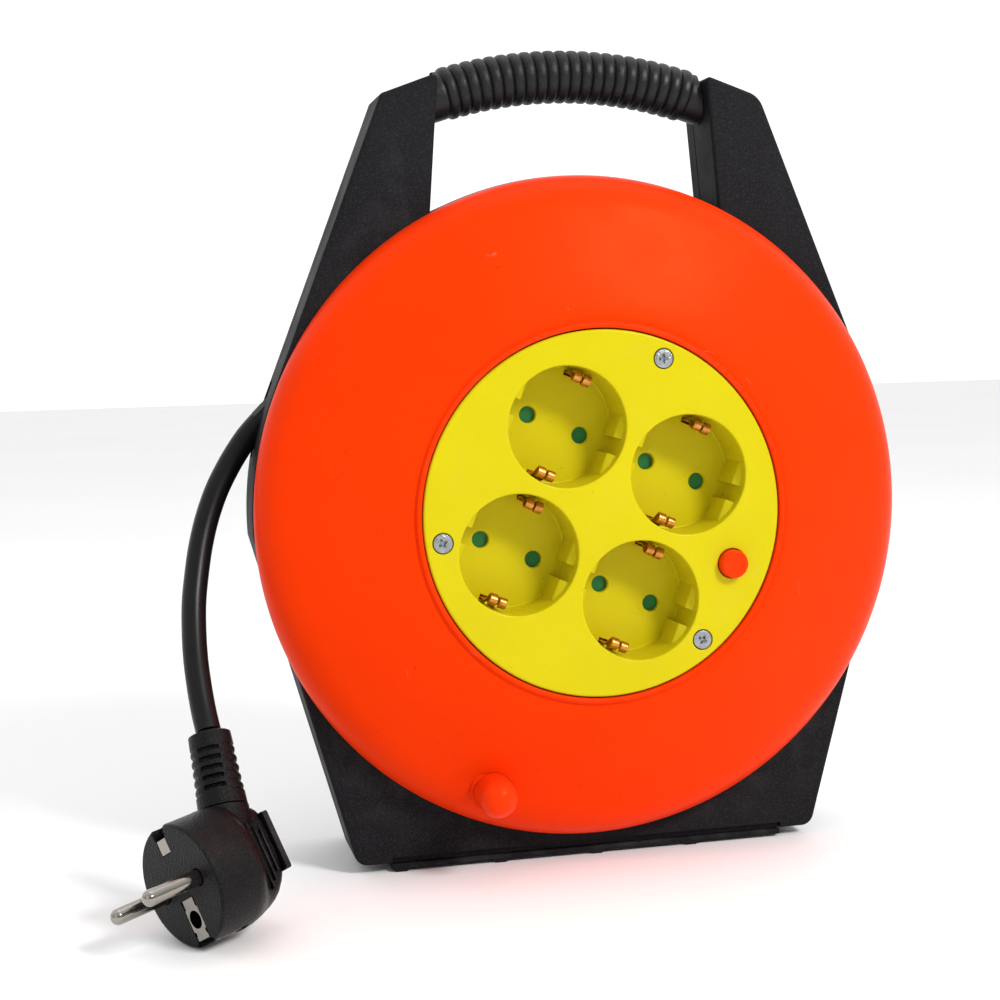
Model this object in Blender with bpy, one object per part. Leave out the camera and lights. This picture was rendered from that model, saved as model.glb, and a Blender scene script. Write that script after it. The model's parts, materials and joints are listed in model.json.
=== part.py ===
"""Extension cord reel: a drum with four earthed sockets that turns in a moulded casing.

Sizes are in millimetres and become metres where a mesh is made. Every shape is drawn in the reel
frame: X to the right, Y the depth behind the socket face, Z up, with zero on the drum's axis. The
empty reel_frame carries that frame into the world, where Z = 0 is the surface the feet stand on and
Y = 0 is the middle of the casing's depth. Drum pieces hang on drum_axis, which turns them as one.
"""

import math

import bmesh
import bpy
from mathutils import Matrix, Vector

MM = 0.001
GAP = 0.3

# Casing, seen from the front: a round body with two handle posts and a splayed base.
FLOOR = -117.6
CASE_RADIUS = 109.6
CASE_BOTTOM = -114.5
POST_INNER_TOP = (45.2, 142.3)
POST_INNER_FOOT = (49.0, 98.0)
POST_OUTER_TOP = (64.0, 135.5)
BASE_CORNER = (79.6, CASE_BOTTOM)
UPPER_TANGENT = 22.2
LOWER_TANGENT = -2.8
RAIL_REACH = 68.1
RUNNERS = (35.6, 2.1, -31.3, -65.0)
CUP_RADIUS = 104.0
CUP_CORNER = (74.0, CASE_BOTTOM + 0.2)
WALL = 2.6

# Depths behind the socket face.
CASE_FRONT = 24.2
PARTING = 36.6
POST_BACK = 49.0
CASE_BACK = 75.0
KNOB_TIP = -6.5
MIDDLE = (KNOB_TIP + CASE_BACK) / 2

# Handle.
GRIP_DEPTH = 36.5
GRIP_ARC = 145.0
GRIP_TOP = 142.9
CORE_RADIUS = 4.6
CORE_REACH = 51.5
RIB_VALLEY = 7.6
RIB_PEAK = 8.6
RIB_PITCH = 4.0
GRIP_REACH = 44.6

# Drum.
DRUM_TURN = 22.79
DISC_RADIUS = 109.4
BARREL_INNER = 59.3
BARREL_OUTER = 61.9
FLANGE_RADIUS = 97.5
FLANGE_FRONT = 24.9
FLANGE_BACK = 69.6
WINDING_RADIUS = 92.0
AXLE_RADIUS = 5.9
KNOB_RADIUS = 96.5
BUTTON_RADIUS = 46.3

# Sockets: earthed 16 A outlets with pins 19 apart.
SOCKET_OFFSET = 21.65
SOCKET_CENTRES = [(u * SOCKET_OFFSET, w * SOCKET_OFFSET) for w in (1, -1) for u in (-1, 1)]
RECESS_RADIUS = 19.35
RECESS_DEPTH = 17.5
PIN_OFFSET = 9.5
PIN_RADIUS = 2.4
EARTH_REACH = 17.3
INSERT_RADIUS = 58.93
INSERT_SCREW_RADIUS = 53.24
INSERT_SCREW_ANGLES = (90, 210, 330)

CARRIER_SCREWS = (-36.0, 36.0)
SCREW_SHANK = 1.45

# Lead and plug.
CORD_RADIUS = 3.9
INNER_LEAD_DEPTH = 31.6
INNER_LEAD_ROUTE = [
    (-51.2, INNER_LEAD_DEPTH, 26.5),
    (-49.6, INNER_LEAD_DEPTH, 19.5),
    (-48.7, INNER_LEAD_DEPTH, 12.0),
    (-48.4, INNER_LEAD_DEPTH, 4.0),
    (-48.4, INNER_LEAD_DEPTH, -5.0),
]
CLAMP_SCREWS = (-54.8, -42.4)
OUTLET = Vector((-105.0, 41.5, 31.4))
OUTLET_DIRECTION = Vector((-0.709, 0.0, -0.705)).normalized()
OUTLET_LEAD_LENGTH = 52.0
LEAD_ROUTE = [
    (-105.0, 41.5, 31.4),
    (-109.5, 41.0, 26.5),
    (-114.8, 40.0, 18.9),
    (-119.6, 38.2, 10.4),
    (-123.2, 35.7, 1.7),
    (-125.8, 32.6, -7.0),
    (-127.6, 29.0, -15.5),
    (-129.0, 24.9, -23.9),
    (-129.6, 20.3, -32.2),
    (-129.7, 15.4, -40.3),
    (-129.2, 10.3, -48.2),
    (-128.4, 5.7, -55.3),
    (-127.4, 1.5, -61.0),
]
PLUG_FACE = Vector((-138.8, -29.9, -99.0))
PLUG_PIN_AXIS = Vector((-0.814, -0.572, -0.106))
PLUG_EARTH_AXIS = Vector((0.349, -0.335, -0.875))
PLUG_RADIUS = 18.6
BOOT_BASE = Vector((0.0, -17.2, -24.6))
BOOT_TOP = Vector((0.0, -38.8, -30.8))

SCREW_SEATS = [
    (57.0, 119.0, POST_BACK - 1.6),
    (73.0, 84.0, POST_BACK - 1.6),
    (74.0, -100.0, POST_BACK + 0.6),
]


# ---------------------------------------------------------------- scene helpers


def clear_scene():
    for obj in list(bpy.data.objects):
        bpy.data.objects.remove(obj)


def make_material(name, colour, roughness, metallic=0.0):
    material = bpy.data.materials.new(name)
    material.use_nodes = True
    shader = material.node_tree.nodes["Principled BSDF"]
    shader.inputs["Base Color"].default_value = (*colour, 1.0)
    shader.inputs["Roughness"].default_value = roughness
    shader.inputs["Metallic"].default_value = metallic
    return material


def make_empty(name, place, parent=None, turn=None):
    empty = bpy.data.objects.new(name, None)
    empty.location = Vector(place) * MM
    if turn:
        empty.rotation_euler = turn
    empty.parent = parent
    bpy.context.scene.collection.objects.link(empty)
    return empty


def make_piece(name, shape, material, parent, place=(0, 0, 0)):
    """Turns a bmesh in millimetres, drawn about place, into a named object under parent."""
    bmesh.ops.recalc_face_normals(shape, faces=shape.faces)
    if shape.calc_volume(signed=True) < 0:
        bmesh.ops.reverse_faces(shape, faces=shape.faces)
    bmesh.ops.scale(shape, vec=(MM, MM, MM), verts=shape.verts)
    mesh = bpy.data.meshes.new(name)
    shape.to_mesh(mesh)
    shape.free()
    mesh.shade_smooth()
    mesh.set_sharp_from_angle(angle=math.radians(35))
    if material:
        mesh.materials.append(material)
    obj = bpy.data.objects.new(name, mesh)
    obj.location = Vector(place) * MM
    obj.parent = parent
    bpy.context.scene.collection.objects.link(obj)
    return obj


def combine(piece, shape, operation):
    """Joins a helper shape to piece, or takes it away, with an exact Boolean."""
    count = len(piece.modifiers) + 1
    helper = make_piece(f"helper.{piece.name}.{count}", shape, None, piece)
    helper.hide_render = True
    helper.display_type = "WIRE"
    modifier = piece.modifiers.new(f"{operation.lower()}_{count}", "BOOLEAN")
    modifier.operation = operation
    modifier.solver = "EXACT"
    modifier.object = helper


def unite(piece, shape):
    combine(piece, shape, "UNION")


def subtract(piece, shape):
    combine(piece, shape, "DIFFERENCE")


# ---------------------------------------------------------------- shape helpers


def skin(rings, closed_loop=False):
    """Closed body through rings of equal count, capped at both ends unless the rings close a loop."""
    shape = bmesh.new()
    loops = [[shape.verts.new(point) for point in ring] for ring in rings]
    pairs = list(zip(loops, loops[1:]))
    if closed_loop:
        pairs.append((loops[-1], loops[0]))
    for near, far in pairs:
        for i in range(len(near)):
            j = (i + 1) % len(near)
            shape.faces.new((near[i], near[j], far[j], far[i]))
    if not closed_loop:
        shape.faces.new(loops[0])
        shape.faces.new(loops[-1])
    return shape


def slab(outline, near, far, near_round=0.0, far_round=0.0, steps=2):
    """Plate between two depths from an X-Z outline, with rounded front and back edges."""
    rings = []
    for step in range(steps + 1 if near_round else 1):
        angle = math.pi / 2 * step / steps
        edge = inset(outline, near_round * (1 - math.sin(angle)))
        depth = near + near_round * (1 - math.cos(angle))
        rings.append([(x, depth, z) for x, z in edge])
    for step in range(steps + 1 if far_round else 1):
        angle = math.pi / 2 * (1 - step / steps)
        edge = inset(outline, far_round * (1 - math.sin(angle)))
        depth = far - far_round * (1 - math.cos(angle))
        rings.append([(x, depth, z) for x, z in edge])
    return skin(rings)


def inset(outline, amount):
    """The outline moved inwards by amount; outlines run clockwise seen from the front."""
    moved = []
    count = len(outline)
    for i in range(count):
        before = Vector(outline[i - 1])
        here = Vector(outline[i])
        after = Vector(outline[(i + 1) % count])
        first = (here - before).normalized()
        second = (after - here).normalized()
        normals = Vector((first.y, -first.x)) + Vector((second.y, -second.x))
        moved.append(tuple(here + normals * amount / (1 + first.dot(second))))
    return moved


def arc(radius, start, end, count, centre=(0.0, 0.0)):
    """Points on a circle in the X-Z plane, from one angle in degrees to another."""
    points = []
    for step in range(count + 1):
        angle = math.radians(start + (end - start) * step / count)
        points.append((centre[0] + radius * math.cos(angle), centre[1] + radius * math.sin(angle)))
    return points


def rounded_corner(before, corner, after, radius, count=4):
    """Points that round one corner of an outline."""
    corner = Vector(corner)
    back = (Vector(before) - corner).normalized()
    ahead = (Vector(after) - corner).normalized()
    half = back.angle(ahead) / 2
    centre = corner + (back + ahead).normalized() * radius / math.sin(half)
    start = corner + back * radius / math.tan(half) - centre
    sweep = start.angle_signed(corner + ahead * radius / math.tan(half) - centre)
    return [tuple(centre + Matrix.Rotation(-sweep * step / count, 2) @ start) for step in range(count + 1)]


def mirrored(half):
    """Right half of an outline, top to bottom, completed by its mirror image."""
    left = [(-x, z) for x, z in reversed(half)]
    return half + [point for point in left if abs(point[0]) > 1e-6]


def rectangle(x_low, x_high, z_low, z_high):
    return [(x_low, z_high), (x_high, z_high), (x_high, z_low), (x_low, z_low)]


def box(x_low, x_high, near, far, z_low, z_high):
    return slab(rectangle(x_low, x_high, z_low, z_high), near, far)


def circle(radius, count, centre=(0.0, 0.0)):
    return arc(radius, 0, -360 + 360 / count, count - 1, centre)


def rod(radius, near, far, centre=(0.0, 0.0), count=20):
    return slab(circle(radius, count, centre), near, far)


def merged(shapes):
    """One bmesh holding several shapes that don't meet."""
    whole = bmesh.new()
    for shape in shapes:
        mesh = bpy.data.meshes.new("merged")
        shape.to_mesh(mesh)
        shape.free()
        whole.from_mesh(mesh)
        bpy.data.meshes.remove(mesh)
    return whole


def turned(profile, count, centre=(0.0, 0.0)):
    """Body of revolution about Y from a closed loop of (radius, depth) points."""
    rings = []
    for step in range(count):
        angle = 2 * math.pi * step / count
        x = math.cos(angle)
        z = math.sin(angle)
        rings.append([(centre[0] + r * x, d, centre[1] + r * z) for r, d in profile])
    shape = skin(rings, closed_loop=True)
    on_axis = [v for v in shape.verts if math.hypot(v.co.x - centre[0], v.co.z - centre[1]) < 1e-3]
    bmesh.ops.remove_doubles(shape, verts=on_axis, dist=1e-3)
    axis_line = [edge for edge in shape.edges if not edge.link_faces]
    bmesh.ops.delete(shape, geom=axis_line, context="EDGES")
    return shape


def smooth_path(points, spacing):
    """Points read at an even spacing from a smooth curve through the given points."""
    knots = [Vector(point) for point in points]
    ends = [2 * knots[0] - knots[1]] + knots + [2 * knots[-1] - knots[-2]]
    fine = []
    for i in range(1, len(ends) - 2):
        p0, p1, p2, p3 = ends[i - 1 : i + 3]
        for step in range(20):
            t = step / 20
            fine.append(
                0.5 * (2 * p1 + (p2 - p0) * t + (2 * p0 - 5 * p1 + 4 * p2 - p3) * t**2
                       + (3 * p1 - p0 - 3 * p2 + p3) * t**3)
            )
    fine.append(knots[-1])
    reach = [0.0]
    for before, after in zip(fine, fine[1:]):
        reach.append(reach[-1] + (after - before).length)
    count = max(2, round(reach[-1] / spacing))
    path = []
    for step in range(count + 1):
        target = reach[-1] * step / count
        i = min(max(j for j in range(len(reach)) if reach[j] <= target + 1e-9), len(fine) - 2)
        share = (target - reach[i]) / (reach[i + 1] - reach[i])
        path.append(fine[i].lerp(fine[i + 1], share))
    return path


def make_tube(name, path, radius, material, parent):
    """Round cord as a curve with a bevel and filled ends."""
    curve = bpy.data.curves.new(name, "CURVE")
    curve.dimensions = "3D"
    curve.bevel_depth = radius * MM
    curve.bevel_resolution = 2
    curve.use_fill_caps = True
    spline = curve.splines.new("POLY")
    spline.points.add(len(path) - 1)
    for point, place in zip(spline.points, path):
        point.co = (*(place * MM), 1.0)
    curve.materials.append(material)
    obj = bpy.data.objects.new(name, curve)
    obj.parent = parent
    bpy.context.scene.collection.objects.link(obj)
    return obj


# ---------------------------------------------------------------- casing


def casing_outline():
    """Outline of the casing's front half, with both posts."""
    foot = POST_INNER_FOOT
    foot_angle = math.degrees(math.atan2(foot[1], foot[0]))
    tangent = arc(CASE_RADIUS, UPPER_TANGENT, UPPER_TANGENT, 1)[0]
    lower = arc(CASE_RADIUS, LOWER_TANGENT, LOWER_TANGENT, 1)[0]
    half = arc(CASE_RADIUS, 90, foot_angle, 5)
    half += rounded_corner(foot, POST_INNER_TOP, POST_OUTER_TOP, 3.4)
    half += rounded_corner(POST_INNER_TOP, POST_OUTER_TOP, tangent, 5.0)
    half += arc(CASE_RADIUS, UPPER_TANGENT, LOWER_TANGENT, 6)
    half += rounded_corner(lower, BASE_CORNER, (0.0, CASE_BOTTOM), 6.0)
    return mirrored(half)


def cup_outline():
    """Outline of the deep back half, which holds the drum and stands on the base."""
    lower = arc(CUP_RADIUS, LOWER_TANGENT, LOWER_TANGENT, 1)[0]
    half = arc(CUP_RADIUS, 90, LOWER_TANGENT, 13)
    half += rounded_corner(lower, CUP_CORNER, (0.0, CUP_CORNER[1]), 6.0)
    return mirrored(half)


def handle_path(reach, count):
    """Centres along the handle's arc from -reach to +reach in X."""
    centre_z = GRIP_TOP - GRIP_ARC
    limit = math.asin(reach / GRIP_ARC)
    path = []
    for step in range(count + 1):
        angle = limit * (2 * step / count - 1)
        path.append((GRIP_ARC * math.sin(angle), centre_z + GRIP_ARC * math.cos(angle), angle))
    return path


def post_wall(z):
    """X of a post's inner wall at height z."""
    x_foot, z_foot = POST_INNER_FOOT
    x_top, z_top = POST_INNER_TOP
    return x_foot + (x_top - x_foot) * (z - z_foot) / (z_top - z_foot)


def handle_ring(x, z, angle, radius, count):
    """Ring of points round the handle's arc, square to it."""
    ring = []
    for step in range(count):
        turn = 2 * math.pi * step / count
        out = radius * math.cos(turn)
        depth = GRIP_DEPTH + radius * math.sin(turn)
        ring.append((x + out * math.sin(angle), depth, z + out * math.cos(angle)))
    return ring


def trimmed_ring(ring, angle):
    """The ring slid along the handle onto the plane of the post it meets, less a gap."""
    side = math.copysign(1.0, angle)
    lean = post_wall(1.0) - post_wall(0.0)
    slope = -math.tan(angle)
    moved = []
    for x, y, z in ring:
        wall = side * (post_wall(z) - GAP)
        slide = (wall - x) / (1 - side * lean * slope)
        moved.append((x + slide, y, z + slope * slide))
    return moved


def core_shape(radius, reach, count=10):
    return skin([handle_ring(x, z, angle, radius, 12) for x, z, angle in handle_path(reach, count)])


def screw_sites():
    return [(side * x, z, seat) for x, z, seat in SCREW_SEATS for side in (-1, 1)]


def outlet_slot():
    """Cutter for the slot in the left wall that the lead leaves by."""
    along = Vector((OUTLET_DIRECTION.x, OUTLET_DIRECTION.z))
    across = Vector((along.y, -along.x)) * 6.2
    middle = Vector((OUTLET.x, OUTLET.z))
    corners = [middle - along * 17 - across, middle + along * 12 - across]
    corners += [middle + along * 12 + across, middle - along * 17 + across]
    return slab([tuple(corner) for corner in corners], PARTING - 2, 46.2)


def build_front_shell(material, reel):
    outline = casing_outline()
    half = slab(outline, CASE_FRONT, PARTING - GAP / 2, near_round=1.8)
    shell = make_piece("front_shell", half, material, reel)
    subtract(shell, slab(inset(outline, WALL), CASE_FRONT + WALL, PARTING + 2))
    subtract(shell, rod(FLANGE_RADIUS + 1, CASE_FRONT - 2, CASE_FRONT + WALL + 1, count=54))
    groove = (CASE_FRONT - 2, CASE_FRONT + 1.8, CASE_BOTTOM - 1, CASE_BOTTOM + 2.1)
    subtract(shell, box(-RAIL_REACH, RAIL_REACH, *groove))
    for x, z, _ in screw_sites():
        unite(shell, rod(4.6, CASE_FRONT + 1.6, POST_BACK - WALL - GAP, (x, z), 9))
    subtract(shell, merged([rod(1.8, 31.0, PARTING + 12, (x, z), 8) for x, z, _ in screw_sites()]))
    subtract(shell, core_shape(CORE_RADIUS + 2 * GAP, CORE_REACH + 1.0))
    return shell


def build_rear_shell(material, reel):
    outline = casing_outline()
    cup = cup_outline()
    half = slab(outline, PARTING + GAP / 2, POST_BACK, far_round=1.8)
    shell = make_piece("rear_shell", half, material, reel)
    unite(shell, slab(cup, POST_BACK - 2, CASE_BACK, far_round=4.5))
    subtract(shell, slab(inset(outline, WALL), PARTING - 2, POST_BACK - WALL))
    subtract(shell, slab(inset(cup, WALL), PARTING - 2, CASE_BACK - WALL))
    for x, z, seat in screw_sites():
        if seat > POST_BACK:
            unite(shell, rod(6.2, POST_BACK - WALL, CASE_BACK - 1, (x, z), 11))
    heads = [rod(4.1, seat, CASE_BACK + 2, (x, z), 9) for x, z, seat in screw_sites()]
    holes = [rod(2.3, POST_BACK - WALL - 1, seat + 1, (x, z), 7) for x, z, seat in screw_sites()]
    subtract(shell, merged(heads))
    subtract(shell, merged(holes))
    subtract(shell, core_shape(CORE_RADIUS + 2 * GAP, CORE_REACH + 1.0))
    subtract(shell, outlet_slot())
    subtract(shell, rod(AXLE_RADIUS + GAP, CASE_BACK - 6, CASE_BACK + 2, count=20))
    subtract(shell, rod(12.5, CASE_BACK - 1.5, CASE_BACK + 2, count=21))
    return shell


def build_casing_screws(material, reel):
    tip = -15.0
    profile = [(0, 0.9), (1.6, 0.9), (1.6, 1.9), (3.4, 1.9), (3.4, GAP)]
    profile += [(SCREW_SHANK, GAP), (SCREW_SHANK, tip), (0, tip)]
    for number, (x, z, seat) in enumerate(screw_sites(), start=1):
        shape = turned([(r, seat + d) for r, d in profile], 8, (x, z))
        make_piece(f"casing_screw_{number}", shape, material, reel)


def build_foot_rail(material, reel):
    """Base strip under the casing, with four raised runners that touch the ground."""
    top = CASE_BOTTOM - GAP
    under = FLOOR + 0.9
    outline = [(-RAIL_REACH, top), (RAIL_REACH, top), (RAIL_REACH, under)]
    for x in RUNNERS:
        outline += [(x + 2.8, under), (x + 1.8, FLOOR), (x - 1.8, FLOOR), (x - 2.8, under)]
    outline.append((-RAIL_REACH, under))
    make_piece("foot_rail", slab(outline, CASE_FRONT + 0.6, CASE_BACK - 2), material, reel)


def build_handle(core_material, grip_material, reel):
    core = make_piece("handle_core", core_shape(CORE_RADIUS, CORE_REACH), core_material, reel)
    for side in (-1, 1):
        unite(core, box(side * 50.2 - 1.1, side * 50.2 + 1.1, 33.4, 39.6, 127.5, 134.0))
    count = 12
    length = 2 * GRIP_ARC * math.asin(GRIP_REACH / GRIP_ARC)
    ribs = int((length - 6) / RIB_PITCH)
    collar = (length - ribs * RIB_PITCH) / 2
    places = [(0.0, RIB_VALLEY + 0.2)]
    for rib in range(ribs):
        start = collar + rib * RIB_PITCH
        places += [(start, RIB_VALLEY), (start + RIB_PITCH / 2, RIB_PEAK)]
    places += [(length - collar, RIB_VALLEY), (length, RIB_VALLEY + 0.2)]
    rings = []
    for along, radius in places:
        angle = along / GRIP_ARC - length / 2 / GRIP_ARC
        x = GRIP_ARC * math.sin(angle)
        z = GRIP_TOP - GRIP_ARC + GRIP_ARC * math.cos(angle)
        rings.append(handle_ring(x, z, angle, radius, count))
    first = handle_path(GRIP_REACH, 1)[0]
    last = handle_path(GRIP_REACH, 1)[-1]
    rings[0] = trimmed_ring(rings[0], first[2])
    rings[-1] = trimmed_ring(rings[-1], last[2])
    path = handle_path(GRIP_REACH, 10)
    bore = [handle_ring(x, z, angle, CORE_RADIUS + GAP, count) for x, z, angle in path]
    bore[0] = trimmed_ring(bore[0], first[2])
    bore[-1] = trimmed_ring(bore[-1], last[2])
    make_piece("handle_grip", skin(rings + bore[::-1], closed_loop=True), grip_material, reel)


def build_axle(material, reel):
    """Pivot bolt through the back, with the screw and washer that keep the drum on it."""
    end = 56.5
    profile = [(0, CASE_BACK - 0.2), (11.5, CASE_BACK - 0.2), (11.5, CASE_BACK - 1.2)]
    profile += [(AXLE_RADIUS, CASE_BACK - 1.2)]
    profile += [(AXLE_RADIUS, end), (1.8, end), (1.8, end + 11), (0, end + 11)]
    make_piece("axle", turned(profile, 18), material, reel)
    head = end - 2 * GAP - 1.2
    washer = [(1.9, end - GAP - 1.2), (9.5, end - GAP - 1.2), (9.5, end - GAP), (1.9, end - GAP)]
    make_piece("axle_washer", turned(washer, 18), material, reel)
    screw = [(0, head - 2.2), (3.2, head - 2.2), (3.6, head), (1.5, head)]
    screw += [(1.5, end + 10), (0, end + 10)]
    make_piece("axle_screw", turned(screw, 12), material, reel)


# ---------------------------------------------------------------- drum


def drum_point(radius, degrees):
    angle = math.radians(degrees)
    return (radius * math.cos(angle), radius * math.sin(angle))


def build_front_disc(material, drum):
    outer = [(59.5, 0.3), (60.4, -0.1), (61.4, 0.25), (75, 3.4), (98, 10.6)]
    edge = [(102.6, 12.6), (106.2, 15.6), (108.5, 19.2), (DISC_RADIUS, 23.3)]
    inner = [(106.9, 23.3), (105.4, 18.6), (101.4, 15.0), (97.2, 13.2), (74.2, 6.0), (BARREL_OUTER, 3.6)]
    inner += [(BARREL_OUTER, FLANGE_FRONT - GAP), (BARREL_INNER, FLANGE_FRONT - GAP), (BARREL_INNER, 1.0)]
    disc = make_piece("front_disc", turned(outer + edge + inner, 48), material, drum)
    unite(disc, rod(7.0, 8.0, 15.0, (0, -KNOB_RADIUS), 16))
    subtract(disc, rod(2.4, 4.0, 18.0, (0, -KNOB_RADIUS), 10))


def build_drum_spool(material, drum):
    boss = 57.0
    back = 67.0
    profile = [(BARREL_INNER, FLANGE_FRONT), (FLANGE_RADIUS, FLANGE_FRONT), (FLANGE_RADIUS, FLANGE_FRONT + 2)]
    profile += [(BARREL_OUTER, FLANGE_FRONT + 2), (BARREL_OUTER, FLANGE_BACK - 2)]
    profile += [(FLANGE_RADIUS, FLANGE_BACK - 2), (FLANGE_RADIUS, FLANGE_BACK), (10, FLANGE_BACK)]
    profile += [(10, FLANGE_BACK + 1.6), (AXLE_RADIUS + GAP, FLANGE_BACK + 1.6), (AXLE_RADIUS + GAP, boss)]
    profile += [(10, boss), (10, back), (BARREL_INNER, back)]
    spool = make_piece("drum_spool", turned(profile, 36), material, drum)
    for degrees in INSERT_SCREW_ANGLES:
        unite(spool, rod(4.0, 23.0, back + 1, drum_point(INSERT_SCREW_RADIUS, degrees), 12))
    unite(spool, box(-57.0, -40.5, 35.8, back + 1, -1.0, 8.0))
    pilots = [rod(1.8, 22.0, 46.0, drum_point(INSERT_SCREW_RADIUS, a), 8) for a in INSERT_SCREW_ANGLES]
    pilots += [rod(1.8, 35.0, 46.0, (x, 3.5), 8) for x in CLAMP_SCREWS]
    subtract(spool, merged(pilots))
    entry = Vector(INNER_LEAD_ROUTE[0])
    inwards = (Vector(INNER_LEAD_ROUTE[1]) - entry).normalized()
    subtract(spool, rod_along(entry - inwards * 8, entry + inwards * 10, CORD_RADIUS + 1.2))


def rod_along(start, end, radius, count=16):
    """Round bar between two points in space."""
    axis = (end - start).normalized()
    turn = axis.to_track_quat("Z", "Y").to_matrix()
    rings = []
    for place in (start, end):
        ring = []
        for step in range(count):
            angle = 2 * math.pi * step / count
            ring.append(place + turn @ Vector((radius * math.cos(angle), radius * math.sin(angle), 0)))
        rings.append(ring)
    return skin(rings)


def build_winding(material, drum):
    front = FLANGE_FRONT + 2 + GAP
    back = FLANGE_BACK - 2 - GAP
    inner = BARREL_OUTER + GAP
    profile = [(inner, front), (WINDING_RADIUS - 3, front), (WINDING_RADIUS, front + 3)]
    profile += [(WINDING_RADIUS, back - 3), (WINDING_RADIUS - 3, back), (inner, back)]
    make_piece("wound_cable", turned(profile, 36), material, drum)
    make_tube("inner_lead", smooth_path(INNER_LEAD_ROUTE, 9.0), CORD_RADIUS, material, drum)


def build_cable_clamp(material, screw_material, drum):
    """Saddle over the inner end of the cable, screwed to a pedestal in the barrel."""
    top = INNER_LEAD_DEPTH - CORD_RADIUS - GAP - 1.6
    clamp = make_piece("cable_clamp", box(-57.2, -40.2, top, 35.5, 0.0, 7.0), material, drum)
    x, depth, _ = INNER_LEAD_ROUTE[-1]
    hollow = CORD_RADIUS + GAP
    subtract(clamp, box(x - hollow, x + hollow, depth, 37.0, -1.0, 8.0))
    subtract(clamp, rod_along(Vector((x, depth, -1)), Vector((x, depth, 8)), hollow))
    subtract(clamp, merged([rod(1.8, top - 1, 37.0, (x, 3.5), 8) for x in CLAMP_SCREWS]))
    for number, x in enumerate(CLAMP_SCREWS, start=1):
        profile = [(0, top - 1.9), (2.2, top - 1.9), (2.6, top - GAP)]
        profile += [(SCREW_SHANK, top - GAP), (SCREW_SHANK, 44), (0, 44)]
        make_piece(f"clamp_screw_{number}", turned(profile, 12, (x, 3.5)), screw_material, drum)


def build_socket_insert(material, drum):
    plate = slab(circle(INSERT_RADIUS, 48), 0.0, 2.8, near_round=0.8)
    insert = make_piece("socket_insert", plate, material, drum)
    wells = [rod(RECESS_RADIUS + 1.6, 1.4, 19.3, centre, 18) for centre in SOCKET_CENTRES]
    unite(insert, merged(wells))
    bosses = [rod(3.6, 1.4, 22.7, drum_point(INSERT_SCREW_RADIUS, a), 9) for a in INSERT_SCREW_ANGLES]
    bosses += [rod(3.4, 1.4, 38.1, (0, w), 9) for w in CARRIER_SCREWS]
    unite(insert, merged(bosses))
    recesses = [rod(RECESS_RADIUS, -1.0, RECESS_DEPTH, centre, 26) for centre in SOCKET_CENTRES]
    subtract(insert, merged(recesses))
    unite(insert, merged([guide for centre in SOCKET_CENTRES for guide in guide_blocks(centre)]))
    unite(insert, merged([rod(1.6, 18.0, 21.3, centre, 8) for centre in SOCKET_CENTRES]))
    slots = []
    for u, w in SOCKET_CENTRES:
        for side in (-1, 1):
            middle = w + side * EARTH_REACH
            slots.append(rod(2.7, RECESS_DEPTH - 1, 20.0, (u + side * PIN_OFFSET, w), 10))
            slots.append(box(u - 3.1, u + 3.1, RECESS_DEPTH - 1, 20.0, middle - 0.9, middle + 0.9))
    subtract(insert, merged(slots))
    holes = [rod(2.0, 1.0, 24.0, drum_point(INSERT_SCREW_RADIUS, a), 8) for a in INSERT_SCREW_ANGLES]
    holes += [rod(1.8, 26.0, 39.0, (0, w), 8) for w in CARRIER_SCREWS]
    holes.append(rod(4.9, -1.0, 4.0, (BUTTON_RADIUS, 0), 18))
    subtract(insert, merged(holes))
    screws = [drum_point(INSERT_SCREW_RADIUS, angle) for angle in INSERT_SCREW_ANGLES]
    subtract(insert, merged([rod(3.4, -1.0, 1.8, place, 14) for place in screws]))


def guide_blocks(centre):
    """Four keyed blocks on the recess wall: a slotted pair at each end of the pin line."""
    u, w = centre
    blocks = []
    for side in (-1, 1):
        for end in (-1, 1):
            near_wall = math.sqrt((RECESS_RADIUS + 0.6) ** 2 - 8.4**2)
            outline = [(16.4, 2.8), (RECESS_RADIUS + 0.4, 2.8), (near_wall, 8.4), (16.4, 8.4)]
            outline = [(u + side * x, w + end * z) for x, z in outline]
            if side * end > 0:
                outline.reverse()
            blocks.append(slab(outline, 4.0, RECESS_DEPTH + 0.8))
    return blocks


def build_contacts(brass, drum):
    """Busbars with a contact tube behind each pin hole, and a bent earth strip in each socket."""
    build_busbar("neutral_busbar", 1, (21.8, 22.6), (21.8, 35.5), brass, drum)
    build_busbar("live_busbar", -1, (37.0, 37.8), (22.0, 37.8), brass, drum)
    for number, (u, w) in enumerate(SOCKET_CENTRES, start=1):
        reach = EARTH_REACH + 0.4
        bridge = box(u - 2.7, u + 2.7, 24.0, 24.8, w - reach, w + reach)
        clip = make_piece(f"earth_clip_{number}", bridge, brass, drum)
        for side in (-1, 1):
            low, high = sorted((w + side * (reach - 0.8), w + side * reach))
            unite(clip, box(u - 2.7, u + 2.7, 4.5, 24.4, low, high))


def build_busbar(name, side, strip, tube, brass, drum):
    columns = [u + side * PIN_OFFSET for u in (-SOCKET_OFFSET, SOCKET_OFFSET)]
    near, far = strip
    bar = make_piece(name, box(columns[0], columns[1], near, far, -2.5, 2.5), brass, drum)
    reach = SOCKET_OFFSET
    unite(bar, merged([box(u - 2.9, u + 2.9, near - 0.01, far + 0.01, -reach, reach) for u in columns]))
    ends = [(u, w) for u in columns for w in (-reach, reach)]
    unite(bar, merged([rod(3.6, tube[0] - 0.02, tube[1] + 0.02, end, 10) for end in ends]))
    bore_end = far - 0.8 if far > tube[0] + 5 else tube[1] + 1
    subtract(bar, merged([rod(2.7, tube[0] - 1, bore_end, end, 10) for end in ends]))


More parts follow.
